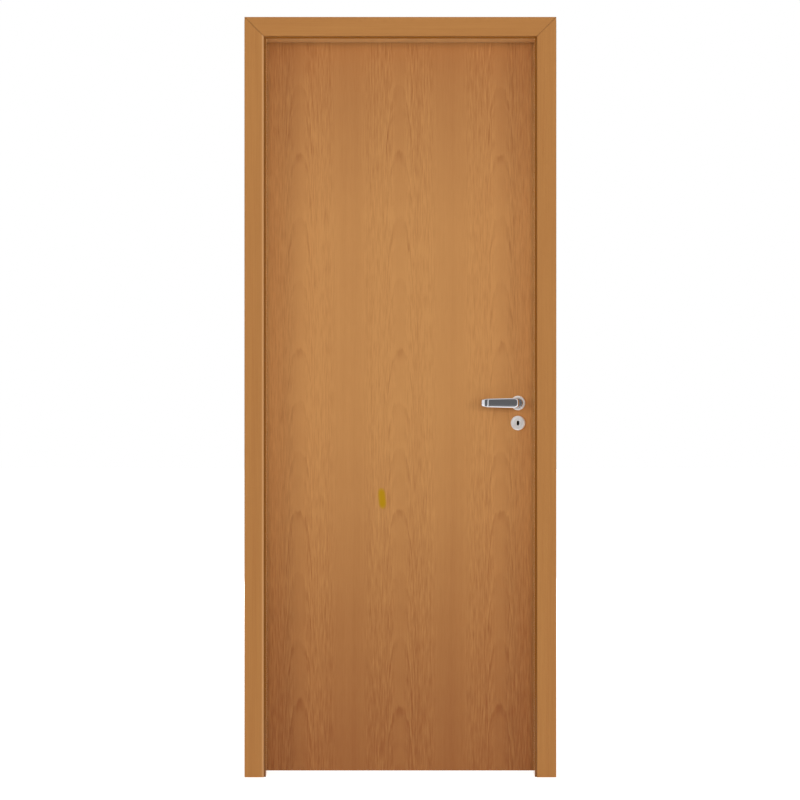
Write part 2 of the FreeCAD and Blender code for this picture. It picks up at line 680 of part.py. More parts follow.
def make_core():
    """The expanded paper honeycomb between the skins."""
    left = size("jamb_thickness") + size("leaf_gap") + size("stile_width")
    right = left + size("leaf_width") - 2 * size("stile_width")
    foot = size("floor_gap") + size("rail_height")
    top = size("floor_gap") + size("leaf_height") - size("rail_height")
    depth = size("jamb_depth") / 2 - size("leaf_thickness") + size("skin_thickness")
    columns = max(2, round((right - left) / size("core_cell")))
    pitch = (right - left) / columns
    row_pitch = pitch * math.sqrt(3) / 2
    rows = math.ceil((top - foot) / row_pitch)
    cells = []
    for row in range(rows + 1):
        shift = 0.5 if row % 2 == 0 else 0.0
        for column in range(columns + 1):
            centre_x = left + (column + shift) * pitch
            cells.append(hexagon(centre_x, foot + row * row_pitch, depth, pitch - size("core_wall")))
    block_middle = size("lever_height") - size("key_distance") / 2
    block_half = size("lock_block_height") / 2
    block_left = right - size("lock_block_width")
    block = Part.Face(Part.makePolygon([
        FreeCAD.Vector(block_left, depth, block_middle - block_half),
        FreeCAD.Vector(right + pitch, depth, block_middle - block_half),
        FreeCAD.Vector(right + pitch, depth, block_middle + block_half),
        FreeCAD.Vector(block_left, depth, block_middle + block_half),
        FreeCAD.Vector(block_left, depth, block_middle - block_half),
    ]))
    panel = Part.Face(Part.makePolygon([
        FreeCAD.Vector(left, depth, foot),
        FreeCAD.Vector(right, depth, foot),
        FreeCAD.Vector(right, depth, top),
        FreeCAD.Vector(left, depth, top),
        FreeCAD.Vector(left, depth, foot),
    ]))
    walls = panel.cut(cells + [block])
    thickness = size("leaf_thickness") - 2 * size("skin_thickness")
    solids = walls.extrude(FreeCAD.Vector(0, thickness, 0)).Solids
    core = document.addObject("Part::Feature", "honeycomb_core")
    core.Label = "honeycomb_core"
    core.Shape = Part.makeCompound(solids) if len(solids) > 1 else solids[0]
    SUBPARTS.append(core)
    return len(solids)


core_pieces = make_core()
print("honeycomb core pieces:", core_pieces)

# Mortise lock

FOREND_BACK = f"({LEAF_RIGHT} - Sizes.forend_thickness)"
CASE_LEFT = f"({FOREND_BACK} - Sizes.case_depth)"


def add_oblong(sketch, centre, narrow, wide, upright=True):
    """A slot outline with round ends, upright or lying, centred on a pair of formulas."""
    first = sketch.GeometryCount
    normal = FreeCAD.Vector(0, 0, 1)
    middle = FreeCAD.Vector(value_of(centre[0]), value_of(centre[1]), 0)
    radius = value_of(narrow) / 2
    half_run = value_of(wide) / 2 - radius
    along = (FreeCAD.Vector(0, 1, 0) if upright else FreeCAD.Vector(-1, 0, 0)) * half_run
    side = (FreeCAD.Vector(1, 0, 0) if upright else FreeCAD.Vector(0, 1, 0)) * radius
    turn = 0 if upright else math.pi / 2
    far_circle = Part.Circle(middle + along, normal, radius)
    near_circle = Part.Circle(middle - along, normal, radius)
    sketch.addGeometry(Part.ArcOfCircle(far_circle, turn, turn + math.pi), False)
    sketch.addGeometry(Part.LineSegment(middle + along - side, middle - along - side), False)
    sketch.addGeometry(Part.ArcOfCircle(near_circle, turn + math.pi, turn + 2 * math.pi), False)
    sketch.addGeometry(Part.LineSegment(middle - along + side, middle + along + side), False)
    far_arc, left, near_arc, right = range(first, first + 4)
    for start, end in (((far_arc, 2), (left, 1)), ((left, 2), (near_arc, 1)),
                       ((near_arc, 2), (right, 1)), ((right, 2), (far_arc, 1))):
        sketch.addConstraint(Sketcher.Constraint("Coincident", *start, *end))
    level = "Horizontal" if upright else "Vertical"
    for arc, sign in ((far_arc, 1), (near_arc, -1)):
        offset = f"(({wide}) - ({narrow})) / 2"
        across, up = centre
        if upright:
            up = f"({up}) {'+' if sign > 0 else '-'} {offset}"
        else:
            across = f"({across}) {'-' if sign > 0 else '+'} {offset}"
        bind(sketch, "DistanceX", (-1, 1, arc, 3), across)
        bind(sketch, "DistanceY", (-1, 1, arc, 3), up)
        bind(sketch, "Radius", (arc,), f"({narrow}) / 2")
        sketch.addConstraint(Sketcher.Constraint(level, arc, 3, arc, 1))
        sketch.addConstraint(Sketcher.Constraint(level, arc, 3, arc, 2))


def bolt_rectangle(height_formula, bolt, clearance):
    """Corners of a bolt's section, across the depth and up, with air around it."""
    half_width = f"(Sizes.bolt_thickness / 2 + {clearance})"
    half_height = f"({bolt} / 2 + {clearance})"
    low = (f"{LEAF_MIDDLE} - {half_width}", f"{height_formula} - {half_height}")
    high = (f"{LEAF_MIDDLE} + {half_width}", f"{height_formula} + {half_height}")
    return low, high


def make_lock_case():
    """The case with its forend, bolt channels, spindle hole and keyhole."""
    body = new_body("lock_case")
    half_thickness = "Sizes.case_thickness / 2"
    case = new_sketch(body, "YZ_Plane", CASE_LEFT)
    add_rectangle(
        case,
        (f"{LEAF_MIDDLE} - {half_thickness}", f"{LOCK_MIDDLE} - Sizes.case_height / 2"),
        (f"{LEAF_MIDDLE} + {half_thickness}", f"{LOCK_MIDDLE} + Sizes.case_height / 2"),
    )
    pad(body, case, "Sizes.case_depth")
    forend = new_sketch(body, "YZ_Plane", FOREND_BACK)
    add_rectangle(forend, *forend_outline())
    pad(body, forend, "Sizes.forend_thickness")
    channels = new_sketch(body, "YZ_Plane", LEAF_RIGHT)
    play = "Sizes.bolt_clearance"
    add_rectangle(channels, *bolt_rectangle("Sizes.lever_height", "Sizes.latch_height", play))
    add_rectangle(channels, *bolt_rectangle(KEY_HEIGHT, "Sizes.dead_bolt_height", play))
    pocket(body, channels, "Sizes.bolt_length")
    holes = new_sketch(body, "XZ_Plane")
    add_circle(holes, "Sizes.spindle_hole_radius", (SPINDLE_X, "Sizes.lever_height"))
    add_oblong(holes, (SPINDLE_X, KEY_HEIGHT), "Sizes.keyhole_width", "Sizes.keyhole_height")
    pocket(body, holes, RIGHT_THROUGH, both=True)


def forend_outline():
    """Corners of the lock's forend, across the depth and up."""
    low = (f"{LEAF_MIDDLE} - Sizes.forend_width / 2", f"{LOCK_MIDDLE} - Sizes.forend_height / 2")
    high = (f"{LEAF_MIDDLE} + Sizes.forend_width / 2", f"{LOCK_MIDDLE} + Sizes.forend_height / 2")
    return low, high


def cut_lock_mortise(body):
    """The mortise for the lock case and the holes for spindle and key."""
    half_thickness = "(Sizes.case_thickness / 2 + Sizes.case_clearance)"
    half_height = "(Sizes.case_height / 2 + Sizes.case_clearance)"
    mortise = new_sketch(body, "YZ_Plane", LEAF_RIGHT)
    add_rectangle(
        mortise,
        (f"{LEAF_MIDDLE} - {half_thickness}", f"{LOCK_MIDDLE} - {half_height}"),
        (f"{LEAF_MIDDLE} + {half_thickness}", f"{LOCK_MIDDLE} + {half_height}"),
    )
    pocket(body, mortise, "Sizes.forend_thickness + Sizes.case_depth + Sizes.case_clearance")


def cut_forend_recess(body):
    """The shallow recess for the forend in the leaf's lock edge."""
    recess = new_sketch(body, "YZ_Plane", LEAF_RIGHT)
    add_rectangle(recess, *forend_outline())
    pocket(body, recess, "Sizes.forend_thickness")


def cut_handle_holes(body):
    """Holes through the block behind the rose and the escutcheon."""
    holes = new_sketch(body, "XZ_Plane")
    add_circle(holes, "Sizes.skin_hole_radius", (SPINDLE_X, "Sizes.lever_height"))
    add_circle(holes, "Sizes.skin_hole_radius", (SPINDLE_X, KEY_HEIGHT))
    pocket(body, holes, RIGHT_THROUGH, both=True)


def make_bolt(label, height_formula, bolt):
    """A bolt drawn back until its end is flush with the forend."""
    body = new_body(label)
    sketch = new_sketch(body, "YZ_Plane", f"{LEAF_RIGHT} - Sizes.bolt_length")
    add_rectangle(sketch, *bolt_rectangle(height_formula, bolt, "0"))
    pad(body, sketch, "Sizes.bolt_length")
    return body


make_lock_case()
cut_forend_recess(lock_stile)
cut_lock_mortise(lock_stile)
cut_lock_mortise(lock_block)
cut_handle_holes(lock_block)
make_bolt("latch_bolt", "Sizes.lever_height", "Sizes.latch_height")
make_bolt("dead_bolt", KEY_HEIGHT, "Sizes.dead_bolt_height")

# Roses, escutcheons and levers, drawn with the door's face at the foot and then placed

FRONT_TURN = FreeCAD.Rotation(FreeCAD.Vector(1, 0, 0), 90)
BACK_TURN = FreeCAD.Rotation(FreeCAD.Vector(1, 0, 0), -90)
QUARTER_TURN = 90


def place_on_face(body, at_front, height_formula, lift="0"):
    """Puts a piece of door furniture on the leaf's front or back face."""
    body.Placement = FreeCAD.Placement(FreeCAD.Vector(0, 0, 0), FRONT_TURN if at_front else BACK_TURN)
    body.setExpression("Placement.Base.x", SPINDLE_X)
    depth = f"{LEAF_FRONT} - ({lift})" if at_front else f"{LEAF_BACK} + ({lift})"
    body.setExpression("Placement.Base.y", depth)
    body.setExpression("Placement.Base.z", height_formula)


def make_disc(label, at_front, height_formula, is_rose):
    """A round rose with a bore for the collar, or a round escutcheon with a keyhole."""
    body = new_body(label)
    disc = new_sketch(body, "XY_Plane")
    add_circle(disc, "Sizes.rose_radius")
    pad(body, disc, "Sizes.rose_thickness")
    rim = next(
        f"Edge{index}"
        for index, edge in enumerate(body.Shape.Edges, start=1)
        if edge.Curve.TypeId == "Part::GeomCircle" and near(edge.CenterOfMass.z, size("rose_thickness"))
    )
    bevel_edges(body, [rim], "Sizes.rose_edge_bevel")
    hole = new_sketch(body, "XY_Plane")
    if is_rose:
        add_circle(hole, "Sizes.collar_radius + Sizes.collar_clearance")
    else:
        add_oblong(hole, ("0", "0"), "Sizes.keyhole_width", "Sizes.keyhole_height")
    pocket(body, hole, "Sizes.rose_thickness", back=True)
    place_on_face(body, at_front, height_formula)


LEVER_OUT = "(Sizes.lever_projection - Sizes.rose_thickness - Sizes.lever_section_depth / 2)"
TIP_BEND_REACH = "(Sizes.lever_reach - Sizes.lever_section_depth / 2 - Sizes.lever_tip_bend_radius)"


def add_section(sketch, centre, upright=True):
    """The lever's section, a rectangle with eased corners, its long side upright or across."""
    across, up = "Sizes.lever_section_depth / 2", "Sizes.lever_section_height / 2"
    if not upright:
        across, up = up, across
    ease = "Sizes.lever_section_ease"
    corners = [
        (f"{across}", f"{up} - {ease}"),
        (f"{across} - {ease}", f"{up}"),
        (f"{ease} - {across}", f"{up}"),
        (f"-{across}", f"{up} - {ease}"),
        (f"-{across}", f"{ease} - {up}"),
        (f"{ease} - {across}", f"-{up}"),
        (f"{across} - {ease}", f"-{up}"),
        (f"{across}", f"{ease} - {up}"),
    ]
    add_outline(sketch, [(f"{centre[0]} + ({x})", f"{centre[1]} + ({y})") for x, y in corners])


def make_lever(label, at_front):
    """A lever: round collar, neck, handle and the return at its tip, with a square spindle socket."""
    body = new_body(label)
    collar = new_sketch(body, "XY_Plane", "Sizes.collar_seat", lift_sign=-1)
    add_circle(collar, "Sizes.collar_radius")
    pad(body, collar, "Sizes.collar_seat + Sizes.collar_clearance + Sizes.collar_height")
    neck = new_sketch(body, "XY_Plane", "Sizes.collar_clearance")
    add_section(neck, ("0", "0"))
    pad(body, neck, f"{LEVER_OUT} - Sizes.lever_bend_radius - Sizes.collar_clearance")
    make_bend(body, "Sizes.lever_bend_radius", "Sizes.lever_bend_radius", at_tip=False)
    handle = new_sketch(body, "YZ_Plane", "Sizes.lever_bend_radius", lift_sign=-1)
    add_section(handle, ("0", LEVER_OUT), upright=False)
    pad(body, handle, f"{TIP_BEND_REACH} - Sizes.lever_bend_radius", back=True)
    make_bend(body, TIP_BEND_REACH, "Sizes.lever_tip_bend_radius", at_tip=True)
    end = new_sketch(body, "XY_Plane", f"{LEVER_OUT} - Sizes.lever_tip_bend_radius")
    add_section(end, (f"-({TIP_BEND_REACH} + Sizes.lever_tip_bend_radius)", "0"))
    pad(body, end, "Sizes.lever_return", back=True)
    end_z = value_of(f"{LEVER_OUT} - Sizes.lever_tip_bend_radius - Sizes.lever_return")
    past_bend = -value_of(TIP_BEND_REACH)
    end_edges = [
        f"Edge{index}"
        for index, edge in enumerate(body.Shape.Edges, start=1)
        if all(near(vertex.Z, end_z) and vertex.X < past_bend for vertex in edge.Vertexes)
    ]
    bevel_edges(body, end_edges, "Sizes.lever_end_bevel")
    socket = new_sketch(body, "XY_Plane", "Sizes.collar_seat", lift_sign=-1)
    half = "Sizes.spindle_side / 2"
    add_rectangle(socket, (f"-{half}", f"-{half}"), (half, half))
    pocket(body, socket, "Sizes.spindle_seat", back=True)
    place_on_face(body, at_front, "Sizes.lever_height", "Sizes.rose_thickness")


def make_bend(body, axis_reach, radius, at_tip):
    """A quarter turn of the lever's section about an upright axis behind the handle."""
    section = new_sketch(body, "XY_Plane", f"{LEVER_OUT} - {radius}")
    section.setExpression("AttachmentOffset.Base.x", f"-{axis_reach}")
    add_section(section, (f"-{radius}" if at_tip else radius, "0"))
    bend = body.newObject("PartDesign::Revolution", f"{body.Name}_bend")
    bend.Profile = section
    bend.ReferenceAxis = (section, ["V_Axis"])
    bend.Angle = QUARTER_TURN
    bend.Reversed = not at_tip
    bend.Refine = False
    settle(bend)


for at_front, side in ((True, "front"), (False, "back")):
    make_disc(f"{side}_rose", at_front, "Sizes.lever_height", is_rose=True)
    make_disc(f"{side}_escutcheon", at_front, KEY_HEIGHT, is_rose=False)
    make_lever(f"{side}_lever", at_front)

SPINDLE_TAIL = "(Sizes.rose_thickness - Sizes.collar_seat + Sizes.spindle_seat)"
half_side = "Sizes.spindle_side / 2"
box_body(
    "spindle",
    (f"{SPINDLE_X} - {half_side}", f"{LEAF_FRONT} - {SPINDLE_TAIL}", f"Sizes.lever_height - {half_side}"),
    (f"{SPINDLE_X} + {half_side}", f"{LEAF_BACK} + {SPINDLE_TAIL}", f"Sizes.lever_height + {half_side}"),
)

# Checks and export

document.recompute()
for item in document.Objects:
    if "Invalid" in item.State or "Error" in item.State:
        raise RuntimeError(f"{item.Name} failed: {item.State}")

os.makedirs("parts", exist_ok=True)
for part in SUBPARTS:
    shape = part.Shape
    if shape.isNull() or not shape.isValid() or not shape.Solids:
        raise RuntimeError(f"{part.Label} has no valid solid")
    shape.exportStep(f"parts/{part.Label}.step")
    box = shape.BoundBox
    print(f"{part.Label:26s} {len(shape.Solids)} {shape.Volume:12.1f}",
          f"{box.XMin:8.2f} {box.YMin:8.2f} {box.ZMin:8.2f} {box.XMax:8.2f} {box.YMax:8.2f} {box.ZMax:8.2f}")
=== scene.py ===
"""A flush hollow core door in its lining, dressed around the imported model.

The model's own boards, plates and casings keep their shapes and get veneer, foil, timber, rubber and
metal finishes. Levers, roses, keyhole covers, screws and the lock's levers are new surfaces.
"""

import json
import logging
import math
from dataclasses import dataclass, field
from enum import Enum
from typing import Any, Mapping, Optional, Sequence, Union

import bpy
import numpy as np
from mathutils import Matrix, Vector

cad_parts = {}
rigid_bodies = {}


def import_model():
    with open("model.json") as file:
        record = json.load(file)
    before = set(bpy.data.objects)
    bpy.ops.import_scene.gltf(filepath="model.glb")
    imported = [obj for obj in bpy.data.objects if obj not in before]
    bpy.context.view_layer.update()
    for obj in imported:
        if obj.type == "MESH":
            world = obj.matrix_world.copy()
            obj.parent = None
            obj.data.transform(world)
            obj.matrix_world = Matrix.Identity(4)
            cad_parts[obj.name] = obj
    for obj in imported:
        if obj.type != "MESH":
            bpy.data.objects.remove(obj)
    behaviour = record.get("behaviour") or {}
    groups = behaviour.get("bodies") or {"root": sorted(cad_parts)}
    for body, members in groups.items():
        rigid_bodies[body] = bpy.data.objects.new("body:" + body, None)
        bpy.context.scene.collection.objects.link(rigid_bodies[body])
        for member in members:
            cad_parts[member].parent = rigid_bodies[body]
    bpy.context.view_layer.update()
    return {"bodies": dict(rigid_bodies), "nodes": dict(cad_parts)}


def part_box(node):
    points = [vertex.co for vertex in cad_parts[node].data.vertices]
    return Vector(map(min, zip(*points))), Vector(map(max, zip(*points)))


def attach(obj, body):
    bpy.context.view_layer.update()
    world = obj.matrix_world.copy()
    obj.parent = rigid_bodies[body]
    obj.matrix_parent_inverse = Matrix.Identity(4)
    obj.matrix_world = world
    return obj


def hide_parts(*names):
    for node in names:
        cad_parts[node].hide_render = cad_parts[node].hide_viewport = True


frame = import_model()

MM = 0.001

Colour = tuple[float, float, float]
Triple = tuple[float, float, float]
Pair = tuple[float, float]

log = logging.getLogger("door")


class Run(Enum):
    """The way a board's grain runs."""

    UPRIGHT = "upright"
    LEVEL = "level"

    def lumps(self, beside: float, along: float) -> Triple:
        """Lumps per metre along X, Y and Z, from those beside the grain and those along it."""
        return (beside, beside, along) if self is Run.UPRIGHT else (along, beside, beside)


class Side(Enum):
    """A face of the leaf: the sign is that of Y outwards from it, and the name starts its pieces' names."""

    FRONT = -1
    BACK = 1

    @property
    def word(self) -> str:
        """The side's name as pieces have it."""
        return self.name.lower()


def linear(colour: Colour) -> tuple[float, float, float, float]:
    """Turn a colour as the eye reads it, 0 to 255, into the light that a shader takes.

    Args:
        colour: Red, green and blue from 0 to 255.

    Returns:
        Red, green, blue and a full alpha, from 0 to 1. Above the foot of the curve each is
        ((c + 0.055) / 1.055) to the power 2.4, with c the colour over 255.
    """
    share = np.array(colour) / 255.0
    light = np.where(share <= 0.04045, share / 12.92, ((share + 0.055) / 1.055) ** 2.4)
    return (float(light[0]), float(light[1]), float(light[2]), 1.0)


# Shader sums


class Signal:
    """One output socket, which takes part in sums as a plain number would."""

    def __init__(self, bench: "Bench", socket: bpy.types.NodeSocket) -> None:
        """Keep the socket and the bench that takes the Math nodes."""
        self.bench = bench
        self.socket = socket

    def sum_of(self, operation: str, *operands: "Operand") -> "Signal":
        """A Math node of the given operation on the given operands."""
        return self.bench.add("ShaderNodeMath", {"operation": operation}, dict(enumerate(operands)))

    def __add__(self, other: "Operand") -> "Signal":
        """self + other."""
        return self.sum_of("ADD", self, other)

    __radd__ = __add__

    def __sub__(self, other: "Operand") -> "Signal":
        """self - other."""
        return self.sum_of("SUBTRACT", self, other)

    def __rsub__(self, other: "Operand") -> "Signal":
        """other - self."""
        return self.sum_of("SUBTRACT", other, self)

    def __mul__(self, other: "Operand") -> "Signal":
        """self * other."""
        return self.sum_of("MULTIPLY", self, other)

    __rmul__ = __mul__

    def __truediv__(self, other: "Operand") -> "Signal":
        """self / other."""
        return self.sum_of("DIVIDE", self, other)

    def __rtruediv__(self, other: "Operand") -> "Signal":
        """other / self."""
        return self.sum_of("DIVIDE", other, self)

    def __pow__(self, other: "Operand") -> "Signal":
        """self to the power other."""
        return self.sum_of("POWER", self, other)

    def __abs__(self) -> "Signal":
        """self without its sign."""
        return self.sum_of("ABSOLUTE", self)

    def fraction(self) -> "Signal":
        """What is left of self over the whole number below it."""
        return self.sum_of("FRACT", self)

    def at_most(self, other: "Operand") -> "Signal":
        """The lesser of self and other."""
        return self.sum_of("MINIMUM", self, other)

    def wrapped(self, low: float, high: float) -> "Signal":
        """self brought into low to high by whole steps of high - low."""
        return self.sum_of("WRAP", self, high, low)

    def climb(self, low: float, high: float) -> "Signal":
        """0 where self is below low, 1 above high, and a smooth climb between."""
        return self.bench.add(
            "ShaderNodeMapRange",
            {"interpolation_type": "SMOOTHSTEP"},
            {"Value": self, "From Min": low, "From Max": high},
        )


Operand = Union[Signal, float]


def find_socket(sockets: Sequence[bpy.types.NodeSocket], key: Union[int, str]) -> bpy.types.NodeSocket:
    """Find one socket of a node.

    Args:
        sockets: The node's inputs or outputs.
        key: Its index, identifier or name.

    Returns:
        The socket at the index, or the first of that identifier or name.
    """
    if isinstance(key, int):
        return sockets[key]
    return next(s for s in sockets if key in (s.identifier, s.name))


class Bench:
    """The node tree of one material or world, and the one way that nodes are added to it."""

    def __init__(self, tree: bpy.types.NodeTree) -> None:
        """Start on an empty tree."""
        tree.nodes.clear()
        self.tree = tree

    def add(
        self,
        kind: str,
        settings: Optional[Mapping[str, Any]] = None,
        sockets: Optional[Mapping[Union[int, str], Any]] = None,
        out: Union[int, str] = 0,
    ) -> Signal:
        """Add one node.

        Args:
            kind: Blender's name for the node's type.
            settings: Properties, such as a Math node's operation, which are set first.
            sockets: Inputs by index, identifier or name: a Signal is linked, a value is set.
            out: Index, identifier or name of the output to return.

        Returns:
            The output as a Signal.
        """
        node = self.tree.nodes.new(kind)
        for name, value in (settings or {}).items():
            setattr(node, name, value)
        for key, value in (sockets or {}).items():
            socket = find_socket(node.inputs, key)
            if isinstance(value, Signal):
                self.tree.links.new(value.socket, socket)
            else:
                socket.default_value = value
        return Signal(self, find_socket(node.outputs, out)) if node.outputs else None

    def place(self) -> Signal:
        """The point in the model's own frame, in metres."""
        return self.add("ShaderNodeTexCoord", out="Object")

    def axes(self, vector: Signal) -> tuple[Signal, Signal, Signal]:
        """Take a vector apart.

        Args:
            vector: A point or direction.

        Returns:
            Its X, Y and Z.
        """
        split = self.add("ShaderNodeSeparateXYZ", sockets={0: vector})
        outputs = split.socket.node.outputs
        return Signal(self, outputs[0]), Signal(self, outputs[1]), Signal(self, outputs[2])

    def noise(
        self, vector: Signal, per_metre: Triple, detail: float = 2.0, roughness: float = 0.5
    ) -> Signal:
        """Soft noise round 0.

        Args:
            vector: The point that it is read at.
            per_metre: How many lumps there are in a metre along X, Y and Z. 0 is none.
            detail: How many finer layers it has.
            roughness: How strong the finer layers are.

        Returns:
            About -0.5 to 0.5.
        """
        stretched = self.add("ShaderNodeMapping", sockets={"Vector": vector, "Scale": per_metre})
        raw = self.add(
            "ShaderNodeTexNoise",
            {"noise_dimensions": "3D"},
            {"Vector": stretched, "Scale": 1.0, "Detail": detail, "Roughness": roughness},
        )
        return raw - 0.5

    def mix(self, share: Operand, under: Any, over: Any) -> Signal:
        """Lay one colour over another.

        Args:
            share: How far the colour over covers, from 0 to 1.
            under: The colour that shows at 0.
            over: The colour that shows at 1.

        Returns:
            The mixed colour.
        """
        return self.add(
            "ShaderNodeMix",
            {"data_type": "RGBA", "clamp_factor": True},
            {"Factor_Float": share, "A_Color": under, "B_Color": over},
            out="Result_Color",
        )

    def relief(self, height: Signal, depth: float) -> Signal:
        """The normal over a height from 0 to 1 that stands for a depth in metres."""
        return self.add("ShaderNodeBump", sockets={"Strength": 1.0, "Distance": depth, "Height": height})


# Finishes


class Finish:
    """A surface finish, which becomes one material."""

    title: str
    pale: Colour
    deep: Colour

    def sockets(self, bench: Bench) -> dict[str, Any]:
        """What goes into the main shader's sockets.

        Args:
            bench: The material's bench.

        Returns:
            Values and links by the sockets' names.
        """
        raise NotImplementedError

    def shade(self, bench: Bench, tone: Signal) -> Signal:
        """The pale colour, turned into the deep one by a tone from 0 to 1."""
        return bench.mix(tone, linear(self.pale), linear(self.deep))

    def material(self) -> bpy.types.Material:
        """The finish as a material, made at its first use.

        Returns:
            The material of the finish's title.
        """
        made = bpy.data.materials.get(self.title)
        if made is None:
            made = bpy.data.materials.new(self.title)
            made.use_nodes = True
            bench = Bench(made.node_tree)
            shader = bench.add("ShaderNodeBsdfPrincipled", sockets=self.sockets(bench))
            bench.add("ShaderNodeOutputMaterial", sockets={"Surface": shader})
        return made


@dataclass(frozen=True)
class Veneer(Finish):
    """Satin varnished veneer, flower cut: columns of nested arches that point up.

    A growth ring is a line of one rise, which is the height plus the steepness times the square of
    the way from the heart line plus the flare times its fourth power. Each third ring ends in a
    dark tip. A pair is where something starts and ends: heights and ways from the heart line in
    metres, and places in a ring as shares of its width.
    """

    title: str = "veneer_plain"
    pale: Colour = (198, 142, 83)
    deep: Colour = (153, 94, 50)
    heart_place: float = 0.126
    heart_step: float = 0.289
    steepness: float = 50.0
    flare: float = 5.4e4
    arch_half: float = 0.062
    arch_edge: Pair = (0.038, 0.06)
    heart_edge: Pair = (0.006, 0.024)
    flank_start: Pair = (0.008, 0.03)
    flank_end: Pair = (0.08, 0.115)
    plain_start: Pair = (0.1, 0.13)
    ring_step: float = 0.186
    ring_start: float = 0.6
    dark_start: Pair = (0.72, 0.92)
    dark_end: Pair = (0.95, 1.0)
    bright_end: Pair = (0.04, 0.3)
    tip_start: Pair = (0.92, 0.98)
    tip_end: Pair = (0.98, 1.0)
    tip_half: Pair = (0.004, 0.013)
    slip_heights: Pair = (0.8, 1.2)
    # foot_shade, head_shade and side_shade place painted shade, darker towards the foot, the head and the
    # sides; head_light places a painted light strip along the top edge.
    foot_shade: Pair = (-0.1, 1.15)
    head_shade: Pair = (1.45, 2.15)
    head_light: Pair = (2.075, 2.1)
    middle: float = 0.4165
    side_shade: Pair = (0.22, 0.42)
    is_marked: bool = False
    mark_place: Pair = (0.364, 0.787)
    mark_half: Pair = (0.0115, 0.03)
    mark_lean: float = 0.085
    mark_colour: Colour = (180, 136, 0)

    def sockets(self, bench: Bench) -> dict[str, Any]:
        """Arches, streaks and pores in the colour, and the pores in the relief.

        Args:
            bench: The material's bench.

        Returns:
            Values and links by the sockets' names.
        """
        place = bench.place()
        across, _, height = bench.axes(place)
        wander = bench.noise(place, (2.2, 0.0, 1.4), detail=1.0)
        half = self.heart_step / 2
        off_heart = abs((across + wander * 0.012 - self.heart_place).wrapped(-half, half))
        wobble = bench.noise(place, (16.0, 0.0, 7.0), detail=3.0)
        ragged = bench.noise(place, (120.0, 0.0, 12.0))
        square = off_heart.at_most(self.arch_half) ** 2.0
        rise = height + square * self.steepness + square * square * self.flare
        beside = off_heart.climb(*self.heart_edge)
        rise = rise + wobble * 0.08 + ragged * (0.03 + beside * 0.05)
        slip = 1.0 - height.climb(*self.slip_heights)
        phase = rise / self.ring_step - self.ring_start - slip * 0.5
        ring = phase.fraction()
        dark = ring.climb(*self.dark_start) * (1.0 - ring.climb(*self.dark_end))
        bright = 1.0 - ring.climb(*self.bright_end)
        third = (phase / 3.0).fraction()
        tip = third.climb(*self.tip_start) * (1.0 - third.climb(*self.tip_end))
        tip = tip * (1.0 - off_heart.climb(*self.tip_half))
        in_arch = 1.0 - off_heart.climb(*self.arch_edge)
        flank = off_heart.climb(*self.flank_start) * (1.0 - off_heart.climb(*self.flank_end))
        plain = off_heart.climb(*self.plain_start)
        along = bench.add("ShaderNodeCombineXYZ", sockets={"X": rise, "Z": height})
        nested = bench.noise(along, (24.0, 0.0, 9.0), detail=3.0, roughness=0.62)
        dash = bench.noise(place, (250.0, 0.0, 21.0))
        streak = bench.noise(place, (170.0, 0.0, 3.5), detail=3.0, roughness=0.6)
        band = bench.noise(place, (40.0, 0.0, 0.5))
        cloud = bench.noise(place, (9.0, 0.0, 6.0))
        pore = bench.noise(place, (640.0, 0.0, 16.0), roughness=0.6).climb(0.06, 0.22)
        # Painted shade: darker towards the foot, the head and the sides of the leaf; further down, a painted
        # light strip lightens the top edge.
        foot = 1.0 - height.climb(*self.foot_shade)
        shade = foot * 0.72 + height.climb(*self.head_shade) * 0.4
        shade = shade + abs(across - self.middle).climb(*self.side_shade) * 0.02
        tone = (
            0.1
            + shade
            + (dark * 0.14 - bright * 0.11) * in_arch * (0.3 + beside * 0.7 + nested * beside * 4.0)
            + tip * 0.24
            + nested * in_arch * (0.15 + beside * 0.45)
            + dash * (0.17 + flank * 0.85)
            + streak * (0.15 + flank * 0.35)
            + band * 0.22
            + cloud * 0.16
            + plain * 0.05
            + pore * (0.1 + flank * 0.1)
            - height.climb(*self.head_light) * 0.2
        )
        colour = self.shade(bench, tone)
        if self.is_marked:
            colour = self.mark(bench, colour, place, across, height)
        return {
            "Base Color": colour,
            "Roughness": 0.36 + streak * 0.1 + pore * 0.1,
            "Specular IOR Level": 0.2,
            "Normal": bench.relief(streak * 0.5 - pore, 0.00008),
        }

    def mark(self, bench: Bench, colour: Signal, place: Signal, across: Signal, height: Signal) -> Signal:
        """Lay the yellow mark over the colour: an upright stroke that leans, with a soft rim.

        Its reach is the square of the way across plus the fourth power of the way up, each as a
        share of the mark's half, plus a little noise.

        Args:
            bench: The material's bench.
            colour: The veneer's colour.
            place: The point in the model's frame.
            across: The point's X.
            height: The point's Z.

        Returns:
            The marked colour.
        """
        lift = height - self.mark_place[1]
        over = (across + lift * self.mark_lean - self.mark_place[0]) / self.mark_half[0]
        up = lift / self.mark_half[1]
        rag = bench.noise(place, (90.0, 0.0, 50.0))
        reach = over * over + up**4.0 + rag * 0.3
        return bench.mix(1.0 - reach.climb(0.1, 1.5), colour, linear(self.mark_colour))


